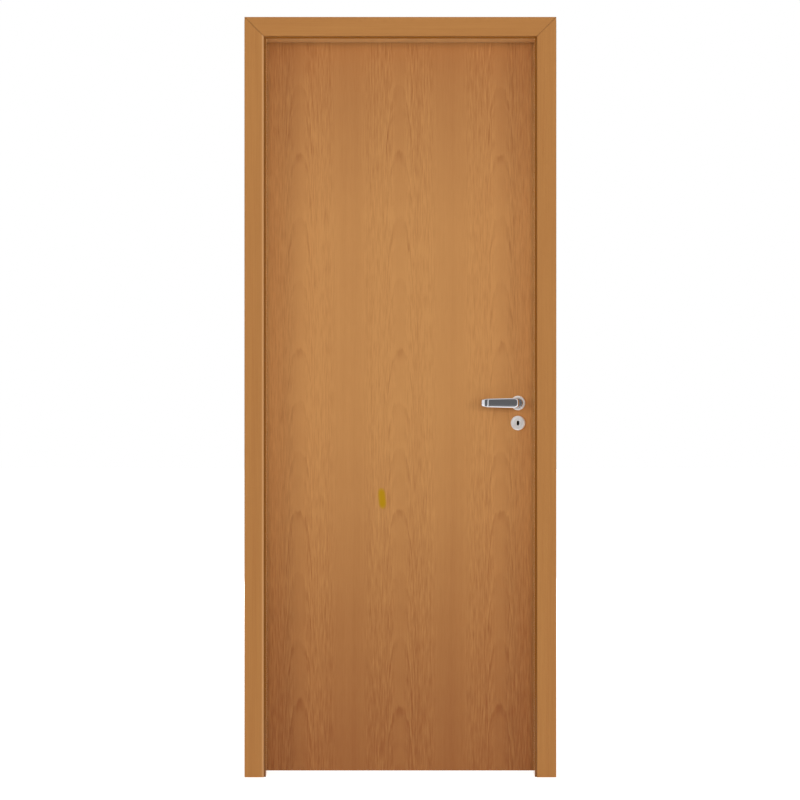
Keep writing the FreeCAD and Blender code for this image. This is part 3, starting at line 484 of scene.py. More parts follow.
@dataclass(frozen=True)
class Foil(Finish):
    """Wood coloured foil on boards: faint streaks along the board and a soft sheen.

    The painted highlight along an inner edge and the painted shadow on the front face lie off the door where
    a board has none.
    """

    title: str
    run: Run
    pale: Colour = (187, 131, 71)
    deep: Colour = (168, 110, 56)
    roughness: float = 0.42
    # Painted shadow: a dark colour for a board's front face, standing for the shade in the step behind the
    # casing's edge.
    front_edge: Colour = (140, 88, 32)
    front_edge_depth: float = -1.0
    edge_soft: float = 0.0003
    # Painted highlight: a pale strip along the inner edge of the hinge-side casing, standing for light caught
    # by its rounded edge; off the door by default.
    arris: Colour = (202, 150, 98)
    arris_edge: float = 1.0
    arris_width: float = 0.0075
    seam: Colour = (112, 68, 28)
    seam_share: float = 0.0
    seam_place: Pair = (0.4165, 1.7135)
    seam_half: Pair = (0.0005, 0.004)
    specular: float = 0.25
    relief: float = 0.00008

    def sockets(self, bench: Bench) -> dict[str, Any]:
        """Long streaks, short pores and slow bands along the run, a painted highlight along one inner edge
        and the mitres.

        Both mitres lie where the height is that of the seam's place plus the way from the middle.

        Args:
            bench: The material's bench.

        Returns:
            Values and links by the sockets' names.
        """
        place = bench.place()
        streak = bench.noise(place, self.run.lumps(260.0, 4.0), detail=3.0)
        band = bench.noise(place, self.run.lumps(40.0, 0.7))
        pore = bench.noise(place, self.run.lumps(700.0, 20.0)).climb(0.08, 0.24)
        tone = 0.42 + streak * 0.7 + band * 0.6 + pore * 0.25
        across, depth, height = bench.axes(place)
        # Painted shadow: the board's front face is dark, standing for the shade in the step behind the
        # casing's edge.
        behind = depth.climb(self.front_edge_depth - self.edge_soft, self.front_edge_depth + self.edge_soft)
        off_seam = abs(height - abs(across - self.seam_place[0]) - self.seam_place[1])
        in_seam = (1.0 - off_seam.climb(*self.seam_half)) * self.seam_share
        # Painted highlight: pale near the casing's inner edge.
        painted_highlight = across.climb(self.arris_edge - self.arris_width, self.arris_edge - self.arris_width / 2)
        colour = self.shade(bench, tone)
        colour = bench.mix(painted_highlight, colour, linear(self.arris))
        colour = bench.mix(in_seam, colour, linear(self.seam))
        return {
            "Base Color": bench.mix(behind, linear(self.front_edge), colour),
            "Roughness": self.roughness + streak * 0.08 + pore * 0.04,
            "Specular IOR Level": self.specular,
            "Normal": bench.relief(streak * 0.4 - pore, self.relief),
        }


@dataclass(frozen=True)
class Timber(Finish):
    """Bare sawn softwood of the leaf's inner frame, with growth lines and the odd darker streak."""

    title: str
    run: Run
    pale: Colour = (214, 178, 126)
    deep: Colour = (168, 118, 68)
    growth: float = 0.0052

    def sockets(self, bench: Bench) -> dict[str, Any]:
        """Growth lines as bent bands along the board, and saw marks in the relief.

        Args:
            bench: The material's bench.

        Returns:
            Values and links by the sockets' names.
        """
        place = bench.place()
        bend = bench.noise(place, self.run.lumps(9.0, 1.1))
        across, depth, height = bench.axes(place)
        spread = depth * 0.6 + (across if self.run is Run.UPRIGHT else height)
        line = (spread / self.growth + bend * 7.0).fraction()
        late = line.climb(0.3, 0.9) * (1.0 - line.climb(0.9, 1.0))
        fibre = bench.noise(place, self.run.lumps(500.0, 9.0), detail=3.0)
        tone = 0.18 + late * 0.4 + fibre * 0.5
        return {
            "Base Color": self.shade(bench, tone),
            "Roughness": 0.66 + fibre * 0.15,
            "Normal": bench.relief(fibre - late * 0.4, 0.00025),
        }


@dataclass(frozen=True)
class Paper(Finish):
    """Brown kraft paper of the honeycomb, with flecks and a felt like relief."""

    title: str = "core_paper_kraft"
    pale: Colour = (186, 146, 100)
    deep: Colour = (134, 96, 60)

    def sockets(self, bench: Bench) -> dict[str, Any]:
        """Cloudy brown with small fibres.

        Args:
            bench: The material's bench.

        Returns:
            Values and links by the sockets' names.
        """
        place = bench.place()
        cloud = bench.noise(place, (30.0, 30.0, 30.0), detail=4.0)
        fleck = bench.noise(place, (900.0, 900.0, 300.0), detail=3.0)
        return {
            "Base Color": self.shade(bench, 0.5 + cloud * 0.8 + fleck * 0.7),
            "Roughness": 0.86 + cloud * 0.1,
            "Normal": bench.relief(fleck, 0.0002),
        }


@dataclass(frozen=True)
class Rubber(Finish):
    """Brown extruded seal, a little dusty, with lines along the extrusion."""

    title: str
    run: Run
    pale: Colour = (112, 78, 48)
    deep: Colour = (70, 46, 28)

    def sockets(self, bench: Bench) -> dict[str, Any]:
        """Dust in slow patches over fine drawn lines.

        Args:
            bench: The material's bench.

        Returns:
            Values and links by the sockets' names.
        """
        place = bench.place()
        drawn = bench.noise(place, self.run.lumps(900.0, 3.0))
        dust = bench.noise(place, (25.0, 25.0, 9.0), detail=3.0)
        return {
            "Base Color": self.shade(bench, 0.55 - dust + drawn * 0.4),
            "Roughness": 0.6 - dust * 0.3,
            "Normal": bench.relief(drawn, 0.00006),
        }


class Lay(Enum):
    """The way that the fine scratches of a metal run, as lumps per metre along X, Y and Z."""

    UPRIGHT = (1600.0, 1600.0, 22.0)
    NONE = (240.0, 240.0, 240.0)


@dataclass(frozen=True)
class Metal(Finish):
    """A plated or polished metal.

    Scratch and cloud are how far scratches and uneven plating move its gloss, depth is that of the
    scratches in metres, and bare is the share that no milky varnish covers.
    """

    title: str
    lay: Lay
    pale: Colour
    deep: Colour
    roughness: float
    scratch: float
    cloud: float
    depth: float
    bare: float = 1.0

    def sockets(self, bench: Bench) -> dict[str, Any]:
        """Scratches move the roughness and relief, and clouds move the colour and roughness.

        Args:
            bench: The material's bench.

        Returns:
            Values and links by the sockets' names.
        """
        place = bench.place()
        line = bench.noise(place, self.lay.value, detail=3.0, roughness=0.65)
        cloud = bench.noise(place, (38.0, 38.0, 38.0), detail=4.0)
        tone = 0.4 + line * self.scratch * 2.0 + cloud * self.cloud * 3.0
        return {
            "Base Color": self.shade(bench, tone),
            "Metallic": self.bare,
            "Roughness": self.roughness + line * self.scratch + cloud * self.cloud,
            "Normal": bench.relief(line, self.depth),
        }


HINGE_STEEL = Metal("hinge_steel_satin", Lay.UPRIGHT, (206, 203, 196), (150, 147, 140), 0.34, 0.12, 0.1, 2e-5)
LOCK_STEEL = Metal("lock_steel_zinc", Lay.UPRIGHT, (196, 198, 200), (138, 141, 146), 0.38, 0.1, 0.14, 2e-5)
SATIN_METAL = Metal(
    "cover_metal_satin", Lay.NONE, (250, 250, 249), (240, 241, 242), 0.3, 0.02, 0.03, 1e-7, bare=0.55
)
CHROME = Metal("lever_metal_polished", Lay.NONE, (228, 228, 232), (206, 206, 212), 0.08, 0.02, 0.03, 2e-7)
SCREW_STEEL = Metal("screw_steel_bright", Lay.NONE, (214, 212, 206), (150, 148, 142), 0.3, 0.1, 0.1, 1e-5)
# Partly the lock's real levers, partly painted shade: their near-black colour stands for the shade inside the
# keyhole.
KEYHOLE_SHADE_STEEL = Metal("lock_levers_dark", Lay.UPRIGHT, (52, 50, 48), (24, 23, 22), 0.55, 0.1, 0.1, 2e-5)


def put(name: str, data: bpy.types.ID) -> bpy.types.Object:
    """Put a mesh, light or camera into the scene.

    Args:
        name: The object's name.
        data: What it shows.

    Returns:
        The object.
    """
    thing = bpy.data.objects.new(name, data)
    bpy.context.scene.collection.objects.link(thing)
    return thing


def dress(node: str, finish: Finish) -> None:
    """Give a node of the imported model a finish, on its own material slots.

    Args:
        node: The node's name.
        finish: Its finish.
    """
    for slot in frame["nodes"][node].material_slots:
        slot.material = finish.material()
    log.info("dressed %s in %s", node, finish.title)


# Surfaces


@dataclass
class Shell:
    """A closed skin: its points, and its faces of four and of three points."""

    points: np.ndarray
    quads: np.ndarray
    fans: np.ndarray

    @classmethod
    def over_rings(cls, rings: np.ndarray, is_joined: bool = False) -> "Shell":
        """Weave a skin over closed rings of points.

        Neighbouring rings are joined by quads. The last ring is joined to the first, or each end is
        closed by a fan round the mean of its points. The faces are turned where the signed volume,
        a sixth of the sum of each face's triple product, is below nought.

        Args:
            rings: Points, as rings by places by three.
            is_joined: Whether the last ring joins the first, as on a tube bent into a ring.

        Returns:
            The skin, its faces outwards.
        """
        count, around, _ = rings.shape
        index = np.arange(count * around).reshape(count, around)
        beside = np.roll(index, -1, axis=1)
        if is_joined:
            below, below_beside = np.roll(index, -1, axis=0), np.roll(beside, -1, axis=0)
            top, top_beside = index, beside
            points = rings.reshape(-1, 3)
            fans = np.zeros((0, 3), int)
        else:
            top, top_beside, below, below_beside = index[:-1], beside[:-1], index[1:], beside[1:]
            poles = np.stack([rings[0].mean(axis=0), rings[-1].mean(axis=0)])
            points = np.concatenate([rings.reshape(-1, 3), poles])
            first, last = np.full(around, count * around), np.full(around, count * around + 1)
            head, foot = [beside[0], index[0], first], [index[-1], beside[-1], last]
            fans = np.concatenate([np.stack(head, axis=1), np.stack(foot, axis=1)])
        quads = np.stack([top, top_beside, below_beside, below], axis=-1).reshape(-1, 4)
        shell = cls(points, quads, fans)
        return shell if shell.volume() > 0 else cls(points, quads[:, ::-1], fans[:, ::-1])

    def volume(self) -> float:
        """The signed volume inside, above nought where the faces point outwards."""
        corners = self.points[np.concatenate([self.quads[:, :3], self.quads[:, [0, 2, 3]], self.fans])]
        return float(np.einsum("ij,ij->i", corners[:, 0], np.cross(corners[:, 1], corners[:, 2])).sum() / 6)

    @classmethod
    def together(cls, shells: Sequence["Shell"]) -> "Shell":
        """Join skins, each one's faces counted on from the points before it.

        Args:
            shells: The skins.

        Returns:
            All of them as one.
        """
        starts = np.cumsum([0] + [len(s.points) for s in shells[:-1]])
        return cls(
            np.concatenate([s.points for s in shells]),
            np.concatenate([s.quads + start for s, start in zip(shells, starts)]),
            np.concatenate([s.fans + start for s, start in zip(shells, starts)]),
        )

    def piece(
        self, name: str, body: str, slot: str, finish: Finish, crease: float = 40.0, stands_for: str = ""
    ) -> bpy.types.Object:
        """Make the skin a piece of the door.

        Args:
            name: The piece's name.
            body: The body that it rides on.
            slot: The record's material slot, which is not used.
            finish: Its finish.
            crease: The angle in degrees from which an edge stays sharp.
            stands_for: The node that it replaces, if any.

        Returns:
            The piece.
        """
        mesh = bpy.data.meshes.new(name)
        mesh.from_pydata(self.points.tolist(), [], self.quads.tolist() + self.fans.tolist())
        mesh.shade_smooth()
        mesh.set_sharp_from_angle(angle=math.radians(crease))
        mesh.materials.append(finish.material())
        piece = put(name, mesh)
        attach(piece, body)
        if stands_for:
            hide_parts(stands_for)
        log.info("made %s: %d faces on %s", name, len(mesh.polygons), body)
        return piece


def smooth(share: np.ndarray) -> np.ndarray:
    """A soft climb: 3 s squared less 2 s cubed, with s from 0 to 1."""
    return share * share * (3.0 - 2.0 * share)


def come(run: np.ndarray, start: float, end: float) -> np.ndarray:
    """The share of the way from start to end that each run has come, held to 0 to 1."""
    return np.clip((run - start) / (end - start), 0.0, 1.0)


def grid(x: np.ndarray, y: np.ndarray, z: np.ndarray) -> np.ndarray:
    """Points from their X, Y and Z, each spread over the same rings and places."""
    return np.stack(np.broadcast_arrays(x, y, z), axis=-1)


def round_angles(around: int, shift: float = 0.0) -> np.ndarray:
    """Even angles round a circle, the first a shift's share of a step past nought."""
    return np.linspace(0.0, 2 * np.pi, around, endpoint=False) + shift * 2 * np.pi / around


# Sub-assemblies


@dataclass
class Casings:
    """The mitred casings on both faces of the lining."""

    # Where the painted highlight along the hinge-side casing's inner edge lies.
    hinge_arris: float = 29.5 * MM
    seam_share: float = 0.32

    def dress(self) -> None:
        """Foil along each board, with a painted highlight along the inner edge of the hinge-side casing."""
        share = self.seam_share
        foils = {
            "hinge": Foil("casing_foil_rubbed", Run.UPRIGHT, arris_edge=self.hinge_arris, seam_share=share),
            "lock": Foil("casing_foil_upright", Run.UPRIGHT, seam_share=share),
            "head": Foil("casing_foil_level", Run.LEVEL, seam_share=share),
        }
        for side in Side:
            for place, foil in foils.items():
                dress(f"{side.word}_{place}_casing", foil)


@dataclass
class Lining:
    """The jambs, the stops that make the rebate, and the seals in the stops."""

    jamb_shades: tuple[Colour, Colour] = ((196, 140, 78), (178, 120, 64))
    # Painted light: the stops' foil is the jambs' foil made paler, and the head stop's paler still, standing
    # for light on their inner faces.
    stop_shades: tuple[Colour, Colour] = ((234, 182, 118), (218, 164, 102))
    head_stop_shades: tuple[Colour, Colour] = ((252, 212, 154), (242, 196, 136))
    front_edge_depth: float = -68.4 * MM
    roughness: float = 0.1
    specular: float = 0.2
    relief: float = 0.004 * MM

    def foil(self, title: str, run: Run, shades: tuple[Colour, Colour]) -> Foil:
        """A board's smooth glossy foil, with a painted shadow on its front edge."""
        finish = {"roughness": self.roughness, "specular": self.specular, "relief": self.relief}
        return Foil(title, run, *shades, front_edge_depth=self.front_edge_depth, **finish)

    def dress(self) -> None:
        """Foil on the boards, with painted shadow on their front edges and paler foil on the stops as painted
        light, and rubber on the seals.
        """
        for side in ("hinge", "lock"):
            dress(f"{side}_jamb", self.foil("jamb_foil_upright", Run.UPRIGHT, self.jamb_shades))
            dress(f"{side}_stop", self.foil("stop_foil_upright", Run.UPRIGHT, self.stop_shades))
            dress(f"{side}_side_seal", Rubber("seal_rubber_upright", Run.UPRIGHT))
        dress("head_jamb", self.foil("jamb_foil_level", Run.LEVEL, self.jamb_shades))
        dress("head_stop", self.foil("stop_foil_level", Run.LEVEL, self.head_stop_shades))
        dress("head_seal", Rubber("seal_rubber_level", Run.LEVEL))


@dataclass
class Leaf:
    """The leaf: two veneered skins on a softwood frame round a paper honeycomb."""

    uprights: tuple[str, ...] = ("hinge_stile", "lock_stile", "lock_block")
    rails: tuple[str, ...] = ("top_rail", "bottom_rail")

    def dress(self) -> None:
        """Veneer outside, with the mark on the front, and timber and paper inside."""
        dress("front_skin", Veneer("veneer_marked", is_marked=True))
        dress("back_skin", Veneer("veneer_plain"))
        for board in self.uprights:
            dress(board, Timber("leaf_timber_upright", Run.UPRIGHT))
        for board in self.rails:
            dress(board, Timber("leaf_timber_level", Run.LEVEL))
        dress("honeycomb_core", Paper())


@dataclass
class Screws:
    """Countersunk screws with a cross recess, each a little proud of its plate.

    The recess's taper and the crown are shares of the recess's rim, the head and the dome.
    """

    head_radius: float = 3.9 * MM
    dome: float = 0.25 * MM
    recess_reach: float = 2.3 * MM
    recess_half_width: float = 0.5 * MM
    recess_depth: float = 1.3 * MM
    shank_radius: float = 1.8 * MM
    shank_depth: float = 2.2 * MM
    rim_height: float = 0.05 * MM
    recess_taper: float = 0.6
    crown_radius: float = 0.8
    crown_height: float = 0.7
    around: int = 48

    def one(self, seat: Triple, outward: float, turn: float) -> Shell:
        """One screw, seen along X.

        The recess is a cross: its rim stands off the middle by the half width over the lesser of
        the sine and cosine of the angle, held to the reach. Rings run from the recess's floor, a
        taper's share of its rim, over the crown of the dome and down the cone to the shank.

        Args:
            seat: The middle of the hole on the plate's face.
            outward: 1 where the head faces +X, -1 where it faces -X.
            turn: How far the recess is turned, in radians.

        Returns:
            The screw's skin.
        """
        angle = round_angles(self.around)
        lesser = np.maximum(np.minimum(np.abs(np.sin(angle)), np.abs(np.cos(angle))), 1e-6)
        cross = np.minimum(self.recess_reach, self.recess_half_width / lesser)
        round_radii = np.array([self.head_radius * self.crown_radius, self.head_radius, self.shank_radius])
        radii = np.stack([cross * self.recess_taper, cross, *(round_radii[:, None] * np.ones_like(angle))])
        crown = self.dome * self.crown_height
        out = np.array([-self.recess_depth, self.dome, crown, self.rim_height, -self.shank_depth])
        rings = grid(
            seat[0] + outward * out[:, None],
            seat[1] + radii * np.cos(angle + turn),
            seat[2] + radii * np.sin(angle + turn),
        )
        return Shell.over_rings(rings)

    def row(self, name: str, body: str, seats: Sequence[Triple], outward: float, seed: int) -> None:
        """A plate's screws as one piece, each turned its own way.

        Args:
            name: The piece's name.
            body: The body that it rides on.
            seats: The middles of the plate's holes.
            outward: 1 where the heads face +X, -1 where they face -X.
            seed: What their turns are drawn from.
        """
        turns = np.random.default_rng(seed).uniform(0.0, np.pi / 2, len(seats))
        shells = [self.one(seat, outward, turn) for seat, turn in zip(seats, turns)]
        slot = "hinge_steel" if "hinge" in name else "lock_steel"
        Shell.together(shells).piece(name, body, slot, SCREW_STEEL, crease=30.0)


@dataclass
class Hinges:
    """Three butt hinges: the plates and knuckles are the model's own, and the screws are new."""

    places: tuple[str, ...] = ("top", "middle", "bottom")
    near_depth: float = 49.0 * MM
    far_depth: float = 61.0 * MM
    end_distance: float = 14.0 * MM
    jamb_face: float = 18.0 * MM
    door_face: float = 24.0 * MM
    screws: Screws = field(default_factory=Screws)

    def build(self) -> None:
        """Three screws in each plate, the middle one nearer the knuckles."""
        halves = (("jamb", "frame", self.jamb_face, 1.0), ("door", "leaf", self.door_face, -1.0))
        for count, place in enumerate(self.places):
            low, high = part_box(f"{place}_hinge_jamb_plate")
            for half, body, face, outward in halves:
                seats = [
                    (face, self.near_depth, low.z + self.end_distance),
                    (face, self.far_depth, (low.z + high.z) / 2),
                    (face, self.near_depth, high.z - self.end_distance),
                ]
                seed = count * 2 + int(outward > 0)
                self.screws.row(f"{place}_hinge_{half}_screws", body, seats, outward, seed)

    def dress(self) -> None:
        """Satin plating on both halves of each hinge."""
        for place in self.places:
            dress(f"{place}_hinge_jamb_plate", HINGE_STEEL)
            dress(f"{place}_hinge_door_plate", HINGE_STEEL)


@dataclass
class Lock:
    """The mortise lock, its strike plate and their screws."""

    spindle_place: float = 754.0 * MM
    key_height: float = 1003.5 * MM
    middle_depth: float = 52.5 * MM
    screw_margin: float = 6.5 * MM
    slot_half: Pair = (3.4 * MM, 6.9 * MM)
    levers_half_depth: float = 2.0 * MM
    around: int = 48
    screws: Screws = field(default_factory=lambda: Screws(head_radius=3.4 * MM))

    def build(self) -> None:
        """Screws at both ends of the forend and strike, and the levers behind the keyhole."""
        for name, node, body, outward in (
            ("forend_screws", "lock_case", "leaf", 1.0),
            ("strike_screws", "strike_plate", "frame", -1.0),
        ):
            low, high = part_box(node)
            face = high.x if outward > 0 else low.x
            seats = [
                (face, self.middle_depth, low.z + self.screw_margin),
                (face, self.middle_depth, high.z - self.screw_margin),
            ]
            self.screws.row(name, body, seats, outward, seed=11 + int(outward))
        # The levers' near-black steel is partly painted shade for the keyhole.
        self.levers().piece("lock_levers", "leaf", "lock_steel", KEYHOLE_SHADE_STEEL)

    def levers(self) -> Shell:
        """The pack of levers that closes the view through the keyhole.

        Returns:
            An oblong plug.
        """
        over, up = oblong(self.slot_half, self.around).T
        depths = self.middle_depth + np.array([-1.0, 1.0]) * self.levers_half_depth
        return Shell.over_rings(grid(self.spindle_place + over, depths[:, None], self.key_height + up))

    def dress(self) -> None:
        """Zinc plating on the case, bolts, strike and spindle."""
        for node in ("lock_case", "latch_bolt", "dead_bolt", "strike_plate", "spindle"):
            dress(node, LOCK_STEEL)


def oblong(half: Pair, around: int) -> np.ndarray:
    """An upright oblong with round ends.

    Each point is a circle's point moved up or down by the straight side's half length.

    Args:
        half: Half the width and half the height.
        around: How many points it has.

    Returns:
        The points, as places by two.
    """
    angle = round_angles(around, shift=0.5)
    lift = np.sign(np.sin(angle)) * (half[1] - half[0])
    return np.stack([half[0] * np.cos(angle), half[0] * np.sin(angle) + lift], axis=-1)


@dataclass
class Cover:
    """A round cover on the leaf's face: the rose, or the keyhole's escutcheon.

    The skin is ruled between the hole's outline and the rim. The share of the way from the hole to
    the rim, and the height off the leaf, follow one closed profile.
    """

    node: str
    middle: Pair
    hole_half: Pair
    radius: float = 21.0 * MM
    thickness: float = 8.0 * MM
    edge: float = 4.0 * MM
    dish: float = 0.5 * MM
    bead: float = 3.4 * MM
    mouth_shares: Pair = (0.03, 0.06)
    mouth_drops: Pair = (0.5 * MM, 0.1 * MM)
    roll_power: float = 0.8
    around: int = 96

    def profile(self) -> np.ndarray:
        """The share of the way to the rim and the height off the leaf, round the section.

        From the hole's foot it climbs over the eased mouth to the dished face, swells to the bead
        as a soft climb, and rolls over the rim as a quarter of an oval, whose sine and cosine are
        raised to the roll's power.

        Returns:
            The shares and the heights.
        """
        reach = self.radius - max(self.hole_half)
        face = self.thickness - self.dish
        start = 1.0 - (self.edge + self.bead) / reach
        near, far = self.mouth_shares
        flat = np.linspace(0.2, 1.0, 5)
        swell = np.linspace(0.0, 1.0, 8)[1:-1]
        roll = np.linspace(np.pi / 2, 0.0, 12)
        shares = [
            [0.0, 0.0, near, far],
            far + (start - far) * flat,
            start + swell * self.bead / reach,
            1.0 - (self.edge / reach) * (1.0 - np.cos(roll) ** self.roll_power),
            [1.0],
        ]
        heights = [
            [0.0, face - self.mouth_drops[0], face - self.mouth_drops[1], face],
            np.full_like(flat, face),
            face + self.dish * smooth(swell),
            self.thickness - self.edge * (1.0 - np.sin(roll) ** self.roll_power),
            [0.0],
        ]
        return np.stack([np.concatenate(shares), np.concatenate(heights)])

    def build(self, side: Side) -> None:
        """Make the cover on one face of the leaf, in place of the model's plain disc.

        Args:
            side: The face.
        """
        low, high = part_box(f"{side.word}_{self.node}")
        seat = high.y if side is Side.FRONT else low.y
        share, height = self.profile()[..., None]
        angle = round_angles(self.around, shift=0.5)
        hole_over, hole_up = oblong(self.hole_half, self.around).T
        over = hole_over * (1.0 - share) + self.radius * np.cos(angle) * share
        up = hole_up * (1.0 - share) + self.radius * np.sin(angle) * share
        rings = grid(self.middle[0] + over, seat + side.value * height, self.middle[1] + up)
        Shell.over_rings(rings, is_joined=True).piece(
            f"{side.word}_{self.node}_cover",
            "leaf",
            "satin_metal",
            SATIN_METAL,
            crease=50.0,
            stands_for=f"{side.word}_{self.node}",
        )


@dataclass
class LeverHandle:
    """A lever that leaves its rose, bends towards the hinges and returns to the leaf at its tip."""

    spindle: Pair = (754.0 * MM, 1061.0 * MM)
    leaf_middle: float = 52.5 * MM
    root: float = 32.0 * MM
    front: float = -20.0 * MM
    tip: float = 646.5 * MM
    neck_offset: float = 5.0 * MM
    neck_bend: float = 7.0 * MM
    tip_bend: float = 20.0 * MM
    return_length: float = 5.0 * MM
    tip_dome: float = 5.0 * MM
    neck_half: Pair = (6.6 * MM, 10.5 * MM)
    bar_half: Pair = (7.0 * MM, 14.2 * MM)
    tip_half: Pair = (7.0 * MM, 12.4 * MM)
    neck_square: float = 2.4
    bar_square: float = 5.0
    tip_square: float = 3.6
    corner_square: float = 5.0
    tip_facet: float = 39.0
    facet_square: float = 30.0
    collar_radius: float = 13.4 * MM
    collar_top: float = 22.0 * MM
    collar_edge: float = 1.8 * MM
    collar_hub: float = 0.6 * MM
    dome_least: float = 0.004
    line_steps: int = 6000
    rings: int = 160
    dome_rings: int = 14
    around: int = 80

    def line(self) -> tuple[np.ndarray, np.ndarray, np.ndarray, tuple[float, ...]]:
        """The middle line seen from above, its neck a little off the spindle.

        The heading starts straight out of the leaf, turns a quarter along the neck's bend and
        another quarter along the tip's bend. The place is the running sum of the heading.

        Returns:
            The way run, the places and the headings, and the runs at which each stretch ends.
        """
        depth = self.front + self.bar_half[0]
        neck = self.root - depth - self.neck_bend
        start = self.spindle[0] - self.neck_offset
        bar = start - self.neck_bend - (self.tip + self.bar_half[0] + self.tip_bend)
        quarter = np.pi / 2
        stretches = [neck, quarter * self.neck_bend, bar, quarter * self.tip_bend, self.return_length]
        ends = tuple(np.cumsum(stretches))
        run = np.linspace(0.0, ends[-1], self.line_steps)
        turn = quarter * (come(run, *ends[0:2]) + come(run, *ends[2:4]))
        heading = np.stack([-np.sin(turn), -np.cos(turn)], axis=-1)
        steps = (heading[1:] + heading[:-1]) / 2 * (run[1] - run[0])
        places = np.concatenate([[(0.0, 0.0)], np.cumsum(steps, axis=0)])
        return run, places + (start, self.root), heading, ends

    def outer_share(self, run: np.ndarray, ends: tuple[float, ...], half: np.ndarray) -> np.ndarray:
        """How far the outer side of the bends stands out, as a share of the half width.

        The neck's bend has a square corner: its reach from the bend's middle is divided by the
        root, of the squareness, of the sum of the turn's cosine and sine raised to it. The tip's
        bend is round up to the facet's angle and goes on as a flat facet and a square end, joined
        by the same kind of root.

        Args:
            run: The way run at each ring.
            ends: The runs at which each stretch ends.
            half: Half the width at each ring.

        Returns:
            The share at each ring.
        """
        neck = come(run, *ends[0:2]) * np.pi / 2
        power = self.corner_square
        corner = (np.cos(neck) ** power + np.sin(neck) ** power) ** (-1 / power)
        tip = come(run, *ends[2:4]) * np.pi / 2
        facet = math.radians(self.tip_facet)
        power = self.facet_square
        flat = (np.cos(tip - facet) ** power + np.sin(tip) ** power) ** (-1 / power)
        flat = np.where(tip > facet, flat, 1.0)
        neck_reach = (self.neck_bend + half) * (corner - 1.0)
        return 1.0 + (neck_reach + (self.tip_bend + half) * (flat - 1.0)) / half

    def collar(self, side: Side) -> Shell:
        """The round collar that turns in the rose, its front edge eased by a quarter round.

        Args:
            side: The face of the leaf.

        Returns:
            The collar's skin.
        """
        turn = np.linspace(0.0, np.pi / 2, 7)
        eased_radii = self.collar_radius - self.collar_edge * (1.0 - np.cos(turn))
        eased_depths = self.collar_top + self.collar_edge * (1.0 - np.sin(turn))
        radii = np.concatenate([[self.collar_radius], eased_radii, [self.collar_hub]])[:, None]
        depths = np.concatenate([[self.root], eased_depths, [self.collar_top]])[:, None]
        if side is Side.BACK:
            depths = 2 * self.leaf_middle - depths
        angle = round_angles(self.around)
        rings = grid(self.spindle[0] + radii * np.cos(angle), depths, self.spindle[1] + radii * np.sin(angle))
        return Shell.over_rings(rings)

    def build(self, side: Side) -> None:
        """Carry the section along the line and make the lever on one face of the leaf.

        The section is an oval whose two axes' cosine and sine are raised to 2 over the squareness.
        It grows squarer and higher along the neck's bend, then lower towards the tip, and rounder
        along the tip's bend. At the end it shrinks as the root of 1 less the square of the way
        into the dome.

        Args:
            side: The face.
        """
        fine_run, fine_places, fine_heading, ends = self.line()
        dome_start = ends[-1] - self.tip_dome
        dome = dome_start + self.tip_dome * np.sin(np.linspace(0.0, np.pi / 2, self.dome_rings)[1:])
        run = np.concatenate([np.linspace(0.0, dome_start, self.rings), dome])
        into_dome = come(run, dome_start, ends[-1])
        places = np.stack([np.interp(run, fine_run, fine_places[:, axis]) for axis in (0, 1)], axis=-1)
        heading = np.stack([np.interp(run, fine_run, fine_heading[:, axis]) for axis in (0, 1)], axis=-1)
        to_bar = smooth(come(run, ends[0], ends[1]))
        to_tip = smooth(come(run, ends[1], ends[3]))
        to_end = smooth(come(run, ends[2], ends[3]))
        squareness = self.neck_square + (self.bar_square - self.neck_square) * to_bar
        squareness = squareness + (self.tip_square - self.bar_square) * to_end
        half = np.array(self.neck_half) + (np.array(self.bar_half) - self.neck_half) * to_bar[:, None]
        half = half + (np.array(self.tip_half) - self.bar_half) * to_tip[:, None]
        half = half * np.sqrt(np.maximum(1.0 - into_dome**2, self.dome_least))[:, None]
        angle = round_angles(self.around)
        power = 2.0 / squareness[:, None]
        over = half[:, :1] * np.sign(np.cos(angle)) * np.abs(np.cos(angle)) ** power
        up = half[:, 1:] * np.sign(np.sin(angle)) * np.abs(np.sin(angle)) ** power
        over = over * np.where(over < 0, self.outer_share(run, ends, half[:, 0])[:, None], 1.0)
        depth = places[:, 1, None] - heading[:, 0, None] * over
        if side is Side.BACK:
            depth = 2 * self.leaf_middle - depth
        rings = grid(places[:, 0, None] + heading[:, 1, None] * over, depth, self.spindle[1] + up)
        Shell.together([Shell.over_rings(rings), self.collar(side)]).piece(
            f"{side.word}_lever_handle",
            "lever_set",
            "polished_chrome",
            CHROME,
            crease=60.0,
            stands_for=f"{side.word}_lever",
        )


@dataclass
class Furniture:
    """The levers, roses and keyhole covers on both faces."""

    lever: LeverHandle = field(default_factory=LeverHandle)
    rose: Cover = field(
        default_factory=lambda: Cover(
            "rose", (754.0 * MM, 1061.0 * MM), (14.0 * MM, 14.0 * MM), edge=3.2 * MM, bead=2.0 * MM
        )
    )
    escutcheon: Cover = field(
        default_factory=lambda: Cover("escutcheon", (754.0 * MM, 1003.5 * MM), (3.5 * MM, 7.0 * MM))
    )

    def build(self) -> None:
        """Make all three on each face."""
        for side in Side:
            self.lever.build(side)
            self.rose.build(side)
            self.escutcheon.build(side)


